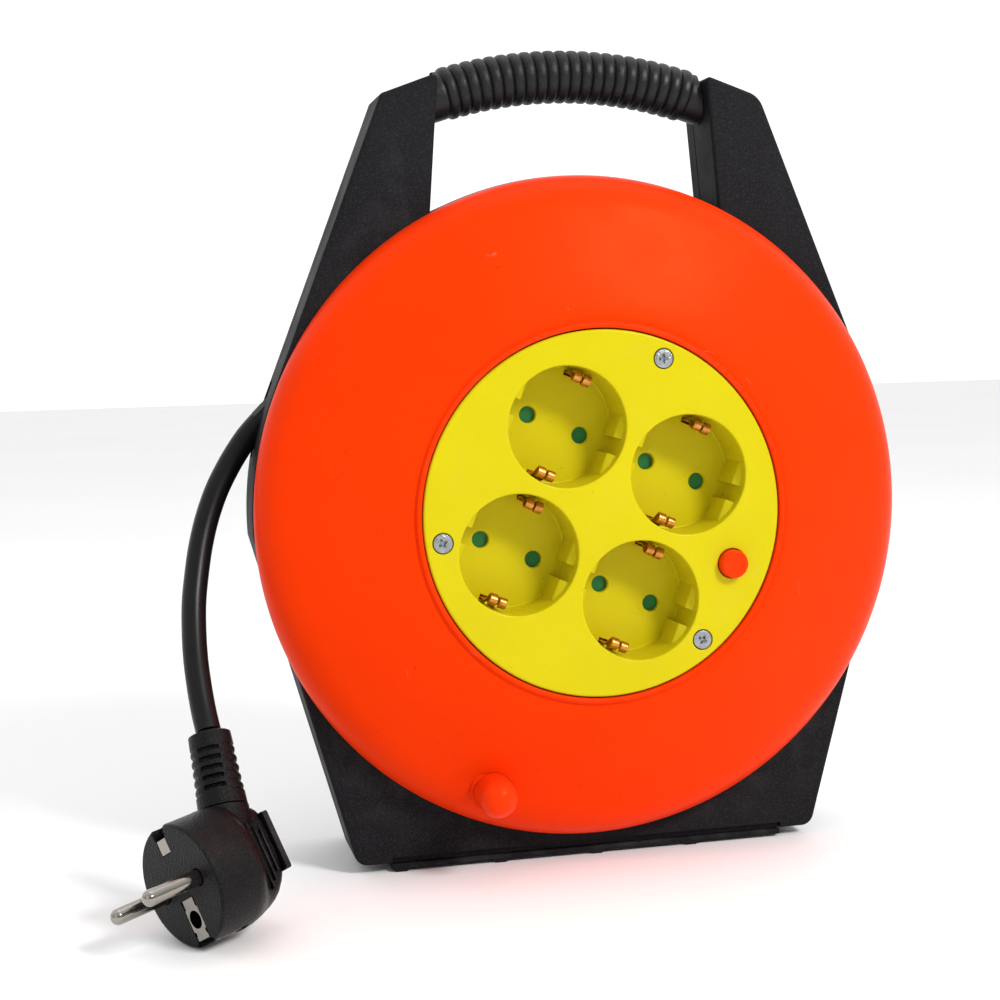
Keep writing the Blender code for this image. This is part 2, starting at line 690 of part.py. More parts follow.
def build_contact_carrier(material, screw_material, drum):
    """Moulded box that closes off the live parts behind the sockets."""
    carrier = make_piece("contact_carrier", box(-38, 38, 19.6, 41.4, -42, 42), material, drum)
    subtract(carrier, box(-36.2, 36.2, 18.0, 38.4, -40.2, 40.2))
    subtract(carrier, merged([rod(2.2, 37.0, 43.0, (0, w), 8) for w in CARRIER_SCREWS]))
    for number, w in enumerate(CARRIER_SCREWS, start=1):
        profile = [(0, 43.6), (0, 28.0), (SCREW_SHANK, 28.0), (SCREW_SHANK, 41.7), (3.4, 41.7), (3.0, 43.6)]
        make_piece(f"carrier_screw_{number}", turned(profile, 12, (0, w)), screw_material, drum)


def build_insert_screws(material, drum):
    profile = [(0, 0.1), (2.7, 0.1), (3.1, 0.5), (3.1, 1.5)]
    profile += [(SCREW_SHANK, 1.5), (SCREW_SHANK, 36.0), (0, 36.0)]
    for number, degrees in enumerate(INSERT_SCREW_ANGLES, start=1):
        x, z = drum_point(INSERT_SCREW_RADIUS, degrees)
        screw = make_piece(f"insert_screw_{number}", turned(profile, 12, (x, z)), material, drum)
        subtract(screw, box(x - 1.6, x + 1.6, -1.0, 0.9, z - 0.35, z + 0.35))
        subtract(screw, box(x - 0.35, x + 0.35, -1.0, 0.9, z - 1.6, z + 1.6))


def build_thermal_cutout(body_material, button_material, spring_material, drum):
    """Overload cut-out with the push button that resets it."""
    body = make_piece("thermal_cutout", box(38.9, 53.7, 7.5, 32.0, -7.4, 7.4), body_material, drum)
    subtract(body, rod(2.7, 6.0, 17.0, (BUTTON_RADIUS, 0), 14))
    axis = make_empty("button_axis", (BUTTON_RADIUS, 0, 0), drum)
    profile = [(0, -3.2), (3.4, -3.2), (4.3, -2.8), (4.6, -2.0), (4.6, 3.1), (6.0, 3.1), (6.0, 4.0)]
    profile += [(2.3, 4.0), (2.3, 13.0), (0, 13.0)]
    make_piece("reset_button", turned(profile, 16), button_material, axis)
    turns = 3
    per_turn = 9
    path = []
    for step in range(turns * per_turn + 1):
        angle = 2 * math.pi * step / per_turn
        depth = 4.75 + (7.5 - 4.75 - 0.4) * step / (turns * per_turn)
        path.append(Vector((3.5 * math.cos(angle), depth, 3.5 * math.sin(angle))))
    spring = make_tube("reset_spring", path, 0.35, spring_material, axis)
    spring.data.bevel_resolution = 0


def build_shutters(material, drum):
    """Turning bars that cover both pin holes of a socket until two pins push them round."""
    for number, (u, w) in enumerate(SOCKET_CENTRES, start=1):
        axis = make_empty(f"shutter_axis_{number}", (u, 0, w), drum)
        outline = arc(3.6, 90, -90, 6, (PIN_OFFSET, 0)) + arc(3.6, 270, 90, 6, (-PIN_OFFSET, 0))
        bar = make_piece(f"shutter_{number}", slab(outline, 19.6, 21.2), material, axis)
        subtract(bar, rod(1.6 + GAP, 18.0, 23.0, count=10))


def build_knob(material, pin_material, drum):
    """Winding knob on its pin, free to turn in the fingers."""
    axis = make_empty("knob_axis", (0, 0, -KNOB_RADIUS), drum)
    radius = 6.3
    crown = KNOB_TIP + radius
    profile = []
    for degrees in range(0, 91, 15):
        angle = math.radians(degrees)
        profile.append((radius * math.sin(angle), crown - radius * math.cos(angle)))
    profile += [(radius, 7.7), (2.4, 7.7), (2.4, -1.0), (0, -1.0)]
    make_piece("crank_knob", turned(profile, 16), material, axis)
    pin = [(0, 16.9), (0, -0.6), (2.1, -0.6), (2.1, 15.3), (4.2, 15.3), (4.2, 16.9)]
    make_piece("knob_pin", turned(pin, 10), pin_material, axis)


# ---------------------------------------------------------------- lead and plug


def build_lead(material, reel):
    start = OUTLET - OUTLET_DIRECTION * OUTLET_LEAD_LENGTH
    end = OUTLET - OUTLET_DIRECTION * 0.7
    inside = [start.lerp(end, share) for share in (0, 0.35, 0.7, 1)]
    make_tube("outlet_lead", inside, CORD_RADIUS, material, reel)
    make_tube("lead_cord", smooth_path(LEAD_ROUTE, 14.0), CORD_RADIUS, material, reel)


def plug_frame_matrix():
    """Local X along the pin pair, Y towards the earth contact's side, Z out of the plug's face."""
    out = PLUG_PIN_AXIS.normalized()
    down = (PLUG_EARTH_AXIS - out * PLUG_EARTH_AXIS.dot(out)).normalized()
    across = down.cross(out)
    turn = Matrix((across, down, out)).transposed()
    return turn.to_euler()


def plug_section(depth, half_width, top, bottom, square, count=24):
    """One cross-section of the plug body: a superellipse between top and bottom."""
    ring = []
    middle = (top + bottom) / 2
    half_height = (bottom - top) / 2
    for step in range(count):
        angle = 2 * math.pi * step / count
        across = math.copysign(abs(math.cos(angle)) ** (2 / square), math.cos(angle))
        along = math.copysign(abs(math.sin(angle)) ** (2 / square), math.sin(angle))
        ring.append((half_width * across, middle + half_height * along, depth))
    return ring


def pole(radius, low, high, place, count=16):
    """Round bar along local Z of the plug."""
    x, y = place
    return rod_along(Vector((x, y, low)), Vector((x, y, high)), radius, count)


def block(x_low, x_high, y_low, y_high, z_low, z_high):
    corners = [(x_low, y_low), (x_high, y_low), (x_high, y_high), (x_low, y_high)]
    return skin([[(x, y, z) for x, y in corners] for z in (z_low, z_high)])


def build_plug(body_material, metal, reel):
    frame = make_empty("plug_frame", PLUG_FACE, reel, plug_frame_matrix())
    full = PLUG_RADIUS
    stations = [
        (0.0, full - 0.7, -full + 0.7, full - 0.7, 2.0),
        (-0.7, full, -full, full, 2.0),
        (-14.5, full, -full, full, 2.0),
        (-18.0, 16.4, -18.3, 18.0, 2.0),
        (-21.2, 11.0, -17.8, 17.1, 2.2),
        (-24.4, 7.6, -16.8, 16.0, 2.6),
        (-28.2, 6.8, -15.4, 13.8, 2.8),
        (-31.8, 6.6, -13.2, 9.4, 2.8),
    ]
    loft = skin([plug_section(*station) for station in stations])
    body = make_piece("plug_body", loft, body_material, frame)
    axis = (BOOT_TOP - BOOT_BASE).normalized()
    unite(body, rod_along(BOOT_BASE - axis * 8, BOOT_BASE + axis * 1.0, 7.9, 20))
    unite(body, block(-8.5, 8.5, -10.4, 8.2, -32.4, -30.2))
    bores = [pole(PIN_RADIUS + GAP, -5.0, 1.0, (side * PIN_OFFSET, 0)) for side in (-1, 1)]
    subtract(body, merged(bores))
    subtract(body, block(-3.5, 3.5, 3.8, 22.0, -1.2, 1.0))
    subtract(body, block(-3.5, 3.5, 16.8, 22.0, -13.0, 0.0))
    subtract(body, pole(3.2, -14.0, 0.0, (0, 10.0)))
    subtract(body, block(-2.6, 2.6, -22.0, -10.0, -1.2, 1.0))
    subtract(body, block(-2.6, 2.6, -22.0, -16.8, -13.0, 0.0))
    build_boot(body_material, frame)
    for number, side in enumerate((-1, 1), start=1):
        tip = 19.0 - PIN_RADIUS
        pin = [(0, -4.7), (PIN_RADIUS, -4.7), (PIN_RADIUS, tip)]
        pin += [(PIN_RADIUS * math.cos(a), tip + PIN_RADIUS * math.sin(a)) for a in (0.5, 1.0)] + [(0, 19.0)]
        shape = turned(pin, 12)
        bmesh.ops.rotate(shape, matrix=Matrix.Rotation(math.pi / 2, 3, "X"), verts=shape.verts)
        bmesh.ops.translate(shape, vec=(side * PIN_OFFSET, 0, 0), verts=shape.verts)
        make_piece(f"plug_pin_{number}", shape, metal, frame)
    lower = make_piece("plug_earth_clip_1", block(-3.2, 3.2, 4.1, 18.3, -0.9, -0.1), metal, frame)
    unite(lower, block(-3.2, 3.2, 17.1, 17.9, -12.6, -0.5))
    subtract(lower, pole(2.9, -2.0, 1.0, (0, 10.0)))
    upper = make_piece("plug_earth_clip_2", block(-2.3, 2.3, -18.3, -10.3, -0.9, -0.1), metal, frame)
    unite(upper, block(-2.3, 2.3, -17.9, -17.1, -12.6, -0.5))


def build_boot(material, frame):
    """Ribbed bend relief between the plug body and the cord."""
    axis = (BOOT_TOP - BOOT_BASE).normalized()
    length = (BOOT_TOP - BOOT_BASE).length
    start = 1.0 + GAP
    profile = [(0, start), (7.6, start), (7.4, 5.0)]
    for rib in range(5):
        along = 5.4 + rib * 2.9
        radius = 7.3 - 0.05 * along
        profile += [(radius - 0.9, along), (radius - 0.9, along + 1.3)]
        profile += [(radius, along + 1.4), (radius, along + 2.8)]
    profile += [(6.5, length), (0, length)]
    shape = turned(profile, 12)
    turn = axis.to_track_quat("Y", "Z").to_matrix()
    bmesh.ops.transform(shape, matrix=Matrix.Translation(BOOT_BASE) @ turn.to_4x4(), verts=shape.verts)
    make_piece("plug_boot", shape, material, frame)


# ---------------------------------------------------------------- whole reel


def main():
    clear_scene()
    black = make_material("casing_plastic", (0.032, 0.031, 0.034), 0.55)
    rubber = make_material("grip_plastic", (0.022, 0.022, 0.023), 0.5)
    red = make_material("disc_plastic", (0.92, 0.07, 0.008), 0.38)
    yellow = make_material("insert_plastic", (0.72, 0.65, 0.03), 0.4)
    grey = make_material("carrier_plastic", (0.25, 0.25, 0.26), 0.5)
    green = make_material("shutter_plastic", (0.01, 0.13, 0.07), 0.4)
    cable = make_material("cable_sheath", (0.03, 0.027, 0.028), 0.45)
    zinc = make_material("zinc_steel", (0.62, 0.63, 0.64), 0.35, 1.0)
    brass = make_material("contact_brass", (0.72, 0.42, 0.16), 0.35, 1.0)
    nickel = make_material("nickel_plate", (0.72, 0.7, 0.66), 0.22, 1.0)

    reel = make_empty("reel_frame", (0, -MIDDLE, -FLOOR))
    build_front_shell(black, reel)
    build_rear_shell(black, reel)
    build_casing_screws(zinc, reel)
    build_foot_rail(black, reel)
    build_handle(black, rubber, reel)
    build_axle(zinc, reel)

    drum = make_empty("drum_axis", (0, 0, 0), reel, (0, math.radians(DRUM_TURN), 0))
    build_front_disc(red, drum)
    build_drum_spool(black, drum)
    build_winding(cable, drum)
    build_cable_clamp(grey, zinc, drum)
    build_socket_insert(yellow, drum)
    build_contacts(brass, drum)
    build_contact_carrier(grey, zinc, drum)
    build_insert_screws(zinc, drum)
    build_thermal_cutout(grey, red, zinc, drum)
    build_shutters(green, drum)
    build_knob(red, zinc, drum)

    build_lead(cable, reel)
    build_plug(black, nickel, reel)


main()
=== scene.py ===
import math

import bmesh
import bpy
from mathutils import Matrix, Vector
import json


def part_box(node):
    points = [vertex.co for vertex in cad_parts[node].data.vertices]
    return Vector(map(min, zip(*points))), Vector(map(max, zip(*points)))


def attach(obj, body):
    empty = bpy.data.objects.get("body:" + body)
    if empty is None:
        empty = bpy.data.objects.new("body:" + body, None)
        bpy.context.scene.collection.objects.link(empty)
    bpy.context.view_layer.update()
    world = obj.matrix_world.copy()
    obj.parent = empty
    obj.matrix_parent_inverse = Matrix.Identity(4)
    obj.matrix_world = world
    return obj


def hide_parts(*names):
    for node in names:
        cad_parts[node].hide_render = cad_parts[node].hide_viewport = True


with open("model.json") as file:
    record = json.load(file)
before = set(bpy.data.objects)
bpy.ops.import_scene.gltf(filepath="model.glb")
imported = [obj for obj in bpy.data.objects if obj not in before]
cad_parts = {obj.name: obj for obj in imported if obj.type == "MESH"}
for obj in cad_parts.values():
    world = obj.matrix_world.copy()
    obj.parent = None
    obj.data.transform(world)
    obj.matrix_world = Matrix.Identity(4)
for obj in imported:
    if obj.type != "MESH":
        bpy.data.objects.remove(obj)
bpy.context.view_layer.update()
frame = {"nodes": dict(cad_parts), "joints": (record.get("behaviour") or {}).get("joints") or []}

# ---------------------------------------------------------------- frame
# Pieces are drawn in millimetres in the reel frame: X right, Y the depth behind the socket face,
# Z up, zero on the drum's axis. REEL carries that frame into metres, DRUM adds the drum's turn.

MM = 0.001
JOINTS = {joint["name"]: joint for joint in frame["joints"]}
AXIS = Vector(JOINTS["drum_spin"]["pos_m"])
ORIGIN = Vector((AXIS.x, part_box("socket_insert")[0].y, AXIS.z))
REEL = Matrix.Translation(ORIGIN) @ Matrix.Scale(MM, 4)


def reel_point(point):
    return (Vector(point) - ORIGIN) / MM


def reel_box(node):
    low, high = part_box(node)
    return reel_point(low), reel_point(high)


SOCKETS_IN_REEL = [reel_point(JOINTS[f"shutter_turn_{n}"]["pos_m"]) for n in range(1, 5)]
across = SOCKETS_IN_REEL[1] - SOCKETS_IN_REEL[0]
DRUM_TURN = math.atan2(-across.z, across.x)
DRUM = REEL @ Matrix.Rotation(DRUM_TURN, 4, "Y")
SOCKET_OFFSET = across.length / 2
SOCKET_CENTRES = [(u * SOCKET_OFFSET, w * SOCKET_OFFSET) for w in (1, -1) for u in (-1, 1)]

FLOOR = reel_box("foot_rail")[0].z
CASE_FRONT = reel_box("front_shell")[0].y
CASE_BACK = reel_box("rear_shell")[1].y
CASE_BOTTOM = reel_box("front_shell")[0].z
CASE_RADIUS = 109.6
PARTING = (reel_box("front_shell")[1].y + reel_box("rear_shell")[0].y) / 2
POST_BACK = 49.0
GAP = 0.3
WALL = 2.6
DISC_RADIUS = reel_box("front_disc")[1].x
INSERT_RADIUS = reel_box("socket_insert")[1].x
KNOB_RADIUS = (reel_point(JOINTS["knob_spin"]["pos_m"]) * Vector((1, 0, 1))).length
BUTTON_RADIUS = 46.3

POST_INNER_TOP = (45.2, 142.3)
POST_INNER_FOOT = (49.0, 98.0)
POST_OUTER_TOP = (64.0, 135.5)
BASE_CORNER = (79.6, CASE_BOTTOM)
UPPER_TANGENT = 22.2
LOWER_TANGENT = -2.8
BASE_ROUND = 4.5
POST_ROUNDS = (1.4, 1.6, 8.0)
DISC_WINDOW_RADIUS = 98.5
CUP_RADIUS = 104.0
CUP_BASE_ROUND = 6.0
CUP_CORNER = (74.0, CASE_BOTTOM + 0.2)
BOSS_RADIUS = 6.2
SLOT_HALF_WIDTH = 6.2
FOOT_REACH = 68.1
RUNNER_CENTRES = (35.6, 2.1, -31.3, -65.0)
RUNNER_HEIGHT = 0.9

GRIP_DEPTH = 36.5
GRIP_ARC = 145.0
GRIP_TOP = 142.9
GRIP_REACH = 44.6
GRIP_SIDES = 56
CORE_RADIUS = 4.6
CORE_REACH = 52.5
RIB_VALLEY = 7.6
RIB_PEAK = 8.6
RIB_PITCH = 3.84
RIBS = 22
COLLAR_RADIUS = RIB_VALLEY + 0.3

PLATE = 2.8
RECESS_RADIUS = 19.35
RECESS_DEPTH = 17.5
WELL_DEPTH = 19.3
JOIN_DEPTH = 1.4
CHORD_REACH = 16.4
EARTH_REACH = 17.3
PIN_OFFSET = 9.5
PIN_RADIUS = 2.4
INSERT_SCREW_RADIUS = 53.24
INSERT_SCREW_ANGLES = (90, 210, 330)
THREAD_RADIUS = 1.45
KNOB_BALL = 6.3

WINDING_FRONT = 27.2
WINDING_RADIUS = 66.3
WINDING_LAYERS = 4
WINDING_TURNS = 4.5
LAYER_RISE = 6.75

CORD_RADIUS = 3.9
LEAD_ROUTE = [
    (-105.0, 41.5, 31.4),
    (-109.5, 41.0, 26.5),
    (-114.8, 40.0, 18.9),
    (-119.6, 38.2, 10.4),
    (-123.2, 35.7, 1.7),
    (-125.8, 32.6, -7.0),
    (-127.6, 29.0, -15.5),
    (-129.0, 24.9, -23.9),
    (-129.6, 20.3, -32.2),
    (-129.7, 15.4, -40.3),
    (-129.2, 10.3, -48.2),
    (-128.4, 5.7, -55.3),
    (-127.4, 1.5, -61.0),
]
PLUG_FACE = Vector((-138.8, -29.9, -99.0))
PLUG_PIN_AXIS = Vector((-0.814, -0.572, -0.106))
PLUG_EARTH_AXIS = Vector((0.349, -0.335, -0.875))
PLUG_RADIUS = 18.6
BOOT_BASE = Vector((0.0, -17.2, -24.6))
BOOT_TOP = Vector((0.0, -38.8, -30.8))
BOOT_START = -1.0
BOOT_RIBS = 5
BOOT_RIB_START = 3.4
BOOT_RIB_PITCH = 2.95
PIN_LENGTH = 19.0

# ---------------------------------------------------------------- camera

camera_data = bpy.data.cameras.new("camera")
camera_data.lens = 62.3
camera_data.sensor_width = 36.0
camera = bpy.data.objects.new("camera", camera_data)
camera_right = Vector((0.9736, -0.2267, -0.0265))
camera_back = Vector((-0.2238, -0.9709, 0.0855))
camera_up = camera_back.cross(camera_right)
camera.matrix_world = Matrix.Translation(REEL @ Vector((-155.9, -527.8, 52.7))) @ Matrix(
    (camera_right, camera_up, camera_back)
).transposed().to_4x4()
bpy.context.scene.collection.objects.link(camera)
bpy.context.scene.camera = camera

# ---------------------------------------------------------------- shape helpers


def skin(rings, closed_loop=False):
    """Closed body through rings of equal count, capped at both ends unless the rings close a loop."""
    shape = bmesh.new()
    loops = [[shape.verts.new(point) for point in ring] for ring in rings]
    pairs = list(zip(loops, loops[1:]))
    if closed_loop:
        pairs.append((loops[-1], loops[0]))
    for near, far in pairs:
        for i in range(len(near)):
            j = (i + 1) % len(near)
            shape.faces.new((near[i], near[j], far[j], far[i]))
    if not closed_loop:
        shape.faces.new(loops[0])
        shape.faces.new(loops[-1])
    return shape


def inset(outline, amount):
    """The outline moved inwards by amount; outlines run clockwise seen from the front."""
    moved = []
    count = len(outline)
    for i in range(count):
        before = Vector(outline[i - 1])
        here = Vector(outline[i])
        after = Vector(outline[(i + 1) % count])
        first = (here - before).normalized()
        second = (after - here).normalized()
        normals = Vector((first.y, -first.x)) + Vector((second.y, -second.x))
        moved.append(tuple(here + normals * amount / (1 + first.dot(second))))
    return moved


def slab(outline, near, far, near_round=0.0, far_round=0.0, steps=5):
    """Plate between two depths from an X-Z outline, with rounded front and back edges."""
    rings = []
    for step in range(steps + 1 if near_round else 1):
        angle = math.pi / 2 * step / steps
        edge = inset(outline, near_round * (1 - math.sin(angle)))
        depth = near + near_round * (1 - math.cos(angle))
        rings.append([(x, depth, z) for x, z in edge])
    for step in range(steps + 1 if far_round else 1):
        angle = math.pi / 2 * (1 - step / steps)
        edge = inset(outline, far_round * (1 - math.sin(angle)))
        depth = far - far_round * (1 - math.cos(angle))
        rings.append([(x, depth, z) for x, z in edge])
    return skin(rings)


def arc(radius, start, end, count, centre=(0.0, 0.0)):
    points = []
    for step in range(count + 1):
        angle = math.radians(start + (end - start) * step / count)
        points.append((centre[0] + radius * math.cos(angle), centre[1] + radius * math.sin(angle)))
    return points


def rounded_corner(before, corner, after, radius, count=10):
    """Points that round one corner of an outline."""
    corner = Vector(corner)
    back = (Vector(before) - corner).normalized()
    ahead = (Vector(after) - corner).normalized()
    half = back.angle(ahead) / 2
    centre = corner + (back + ahead).normalized() * radius / math.sin(half)
    start = corner + back * radius / math.tan(half) - centre
    sweep = start.angle_signed(corner + ahead * radius / math.tan(half) - centre)
    return [tuple(centre + Matrix.Rotation(-sweep * step / count, 2) @ start) for step in range(count + 1)]


def softened(loop, radius, count=3):
    """A closed loop of 2D points with every sharp corner rounded as far as its neighbours leave room."""
    points = []
    for i, here in enumerate(loop):
        before = Vector(loop[i - 1])
        after = Vector(loop[(i + 1) % len(loop)])
        here = Vector(here)
        back = before - here
        ahead = after - here
        turn = back.angle(ahead)
        if turn > math.radians(165):
            points.append(tuple(here))
            continue
        reach = min(radius / math.tan(turn / 2), 0.42 * back.length, 0.42 * ahead.length)
        points += rounded_corner(before, here, after, reach * math.tan(turn / 2), count)
    return points


def mirrored(half):
    left = [(-x, z) for x, z in reversed(half)]
    return half + [point for point in left if abs(point[0]) > 1e-6]


def rectangle(x_low, x_high, z_low, z_high):
    return [(x_low, z_high), (x_high, z_high), (x_high, z_low), (x_low, z_low)]


def box(x_low, x_high, near, far, z_low, z_high, edge=0.0):
    return slab(rectangle(x_low, x_high, z_low, z_high), near, far, edge, edge, 2)


def circle(radius, count, centre=(0.0, 0.0)):
    return arc(radius, 0, -360 + 360 / count, count - 1, centre)


def rod(radius, near, far, centre=(0.0, 0.0), count=48):
    return slab(circle(radius, count, centre), near, far)


def turned(profile, count, centre=(0.0, 0.0)):
    """Body of revolution about Y from a closed loop of (radius, depth) points."""
    rings = []
    for step in range(count):
        angle = 2 * math.pi * step / count
        x = math.cos(angle)
        z = math.sin(angle)
        rings.append([(centre[0] + r * x, d, centre[1] + r * z) for r, d in profile])
    shape = skin(rings, closed_loop=True)
    on_axis = [v for v in shape.verts if math.hypot(v.co.x - centre[0], v.co.z - centre[1]) < 1e-3]
    bmesh.ops.remove_doubles(shape, verts=on_axis, dist=1e-3)
    axis_line = [edge for edge in shape.edges if not edge.link_faces]
    bmesh.ops.delete(shape, geom=axis_line, context="EDGES")
    return shape


def merged(shapes):
    whole = bmesh.new()
    for shape in shapes:
        mesh = bpy.data.meshes.new("merged")
        shape.to_mesh(mesh)
        shape.free()
        whole.from_mesh(mesh)
        bpy.data.meshes.remove(mesh)
    return whole


def moved(shape, matrix):
    bmesh.ops.transform(shape, matrix=matrix, verts=shape.verts)
    return shape


def rod_along(start, end, radius, count=24):
    """Round bar between two points in space."""
    turn = (end - start).to_track_quat("Z", "Y").to_matrix()
    rings = []
    for place in (start, end):
        angles = [2 * math.pi * step / count for step in range(count)]
        rings.append([place + turn @ Vector((radius * math.cos(a), radius * math.sin(a), 0)) for a in angles])
    return skin(rings)


def smooth_path(points, spacing):
    """Points read at an even spacing from a smooth curve through the given points."""
    knots = [Vector(point) for point in points]
    ends = [2 * knots[0] - knots[1]] + knots + [2 * knots[-1] - knots[-2]]
    fine = []
    for i in range(1, len(ends) - 2):
        p0, p1, p2, p3 = ends[i - 1 : i + 3]
        for step in range(20):
            t = step / 20
            fine.append(
                0.5 * (2 * p1 + (p2 - p0) * t + (2 * p0 - 5 * p1 + 4 * p2 - p3) * t**2
                       + (3 * p1 - p0 - 3 * p2 + p3) * t**3)
            )
    fine.append(knots[-1])
    reach = [0.0]
    for before, after in zip(fine, fine[1:]):
        reach.append(reach[-1] + (after - before).length)
    count = max(2, round(reach[-1] / spacing))
    path = []
    i = 0
    for step in range(count + 1):
        target = reach[-1] * step / count
        while i < len(fine) - 2 and reach[i + 1] < target:
            i += 1
        share = (target - reach[i]) / (reach[i + 1] - reach[i])
        path.append(fine[i].lerp(fine[i + 1], share))
    return path


def swept(path, section, up=Vector((0, 0, 1))):
    """Closed body of a flat section carried along a path; section points are (sideways, upwards)."""
    rings = []
    for i, place in enumerate(path):
        ahead = path[min(i + 1, len(path) - 1)] - path[max(i - 1, 0)]
        side = ahead.cross(up).normalized()
        lift = side.cross(ahead).normalized()
        rings.append([place + side * a + lift * b for a, b in section])
    return skin(rings)


# ---------------------------------------------------------------- pieces


def make_object(name, shape, matrix):
    """An object from a shape drawn in millimetres, its faces turned outwards."""
    bmesh.ops.transform(shape, matrix=matrix, verts=shape.verts)
    bmesh.ops.recalc_face_normals(shape, faces=shape.faces)
    if shape.calc_volume(signed=True) < 0:
        bmesh.ops.reverse_faces(shape, faces=shape.faces)
    mesh = bpy.data.meshes.new(name)
    shape.to_mesh(mesh)
    shape.free()
    made = bpy.data.objects.new(name, mesh)
    bpy.context.scene.collection.objects.link(made)
    return made


def combine(piece, steps, matrix):
    """Exact Booleans in turn, applied and cleaned: each step is an operation and the shape it uses."""
    helpers = []
    for number, (operation, shape) in enumerate(steps):
        helper = make_object(f"{piece.name}.tool.{number}", shape, matrix)
        modifier = piece.modifiers.new(str(number), "BOOLEAN")
        modifier.operation = operation
        modifier.solver = "EXACT"
        modifier.object = helper
        helpers.append(helper)
    graph = bpy.context.evaluated_depsgraph_get()
    result = bpy.data.meshes.new_from_object(piece.evaluated_get(graph))
    cleaned = bmesh.new()
    cleaned.from_mesh(result)
    bmesh.ops.remove_doubles(cleaned, verts=cleaned.verts, dist=0.002 * MM)
    bmesh.ops.dissolve_degenerate(cleaned, edges=cleaned.edges, dist=0.001 * MM)
    cleaned.to_mesh(result)
    cleaned.free()
    piece.modifiers.clear()
    piece.data = result
    for helper in helpers:
        bpy.data.objects.remove(helper)


def add_piece(name, shape, matrix, body, material, stands_for, steps=(), smooth=38):
    """One visible piece: built, smoothed, painted, riding on its body and standing for its CAD nodes."""
    piece = make_object(name, shape, matrix)
    if steps:
        combine(piece, steps, matrix)
    piece.data.shade_smooth()
    piece.data.set_sharp_from_angle(angle=math.radians(smooth))
    piece.modifiers.new("flat_faces", "WEIGHTED_NORMAL").keep_sharp = True
    piece.data.materials.clear()
    piece.data.materials.append(material)
    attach(piece, body)
    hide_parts(*stands_for)
    return piece


# ---------------------------------------------------------------- materials


def start_material(name, colour, roughness, metallic=0.0):
    material = bpy.data.materials.new(name)
    material.use_nodes = True
    tree = material.node_tree
    shader = tree.nodes["Principled BSDF"]
    shader.inputs["Base Color"].default_value = (*colour, 1)
    shader.inputs["Roughness"].default_value = roughness
    shader.inputs["Metallic"].default_value = metallic
    place = tree.nodes.new("ShaderNodeTexCoord").outputs["Object"]
    return material, tree, shader, place


def noise(tree, place, size_mm, detail=2.0, stretch=None):
    """Noise whose features are about size_mm across."""
    if stretch:
        mapping = tree.nodes.new("ShaderNodeMapping")
        mapping.inputs["Scale"].default_value = stretch
        tree.links.new(place, mapping.inputs["Vector"])
        place = mapping.outputs["Vector"]
    texture = tree.nodes.new("ShaderNodeTexNoise")
    texture.inputs["Scale"].default_value = 1 / (size_mm * MM)
    texture.inputs["Detail"].default_value = detail
    tree.links.new(place, texture.inputs["Vector"])
    return texture.outputs["Fac"]


def ramp(tree, value, low, high, out_low=0.0, out_high=1.0):
    """Straight mapping of value from low..high to out_low..out_high, clamped."""
    made = tree.nodes.new("ShaderNodeMapRange")
    made.inputs["From Min"].default_value = low
    made.inputs["From Max"].default_value = high
    made.inputs["To Min"].default_value = out_low
    made.inputs["To Max"].default_value = out_high
    tree.links.new(value, made.inputs["Value"])
    return made.outputs["Result"]


def mix_colour(tree, share, first, second):
    """Mix of two colours, each a triple or an output, by share."""
    made = tree.nodes.new("ShaderNodeMix")
    made.data_type = "RGBA"
    tree.links.new(share, made.inputs["Factor"])
    for socket, colour in ((made.inputs["A"], first), (made.inputs["B"], second)):
        if isinstance(colour, tuple):
            socket.default_value = (*colour, 1)
        else:
            tree.links.new(colour, socket)
    return made.outputs["Result"]


def shade(colour, amount):
    return tuple(min(1.0, channel * amount) for channel in colour)


def add_math(tree, first, second, operation="ADD"):
    made = tree.nodes.new("ShaderNodeMath")
    made.operation = operation
    for socket, value in zip(made.inputs, (first, second)):
        if isinstance(value, (int, float)):
            socket.default_value = value
        else:
            tree.links.new(value, socket)
    return made.outputs["Value"]


def add_bump(tree, shader, height, depth_mm):
    made = tree.nodes.new("ShaderNodeBump")
    made.inputs["Strength"].default_value = 1.0
    made.inputs["Distance"].default_value = depth_mm * MM
    tree.links.new(height, made.inputs["Height"])
    tree.links.new(made.outputs["Normal"], shader.inputs["Normal"])


def edge_share(tree):
    """1 on the convex edges of the mesh, 0 on its faces."""
    geometry = tree.nodes.new("ShaderNodeNewGeometry")
    return ramp(tree, geometry.outputs["Pointiness"], 0.52, 0.6)


def add_marks(tree, place, tone, colour):
    """Sparse specks of dirt, and short pale scratches in patches."""
    speck = ramp(tree, noise(tree, place, 1.7, 1), 0.76, 0.8, 0.0, 0.4)
    tone = mix_colour(tree, speck, tone, shade(colour, 0.35))
    off_line = add_math(tree, add_math(tree, noise(tree, place, 45, 0), 0.5, "SUBTRACT"), 0, "ABSOLUTE")
    line = ramp(tree, off_line, 0.0, 0.0016, 0.35, 0.0)
    patches = ramp(tree, noise(tree, place, 9, 3), 0.6, 0.68)
    pale = tuple(0.75 * channel + 0.2 for channel in colour)
    return mix_colour(tree, add_math(tree, line, patches, "MULTIPLY"), tone, pale)


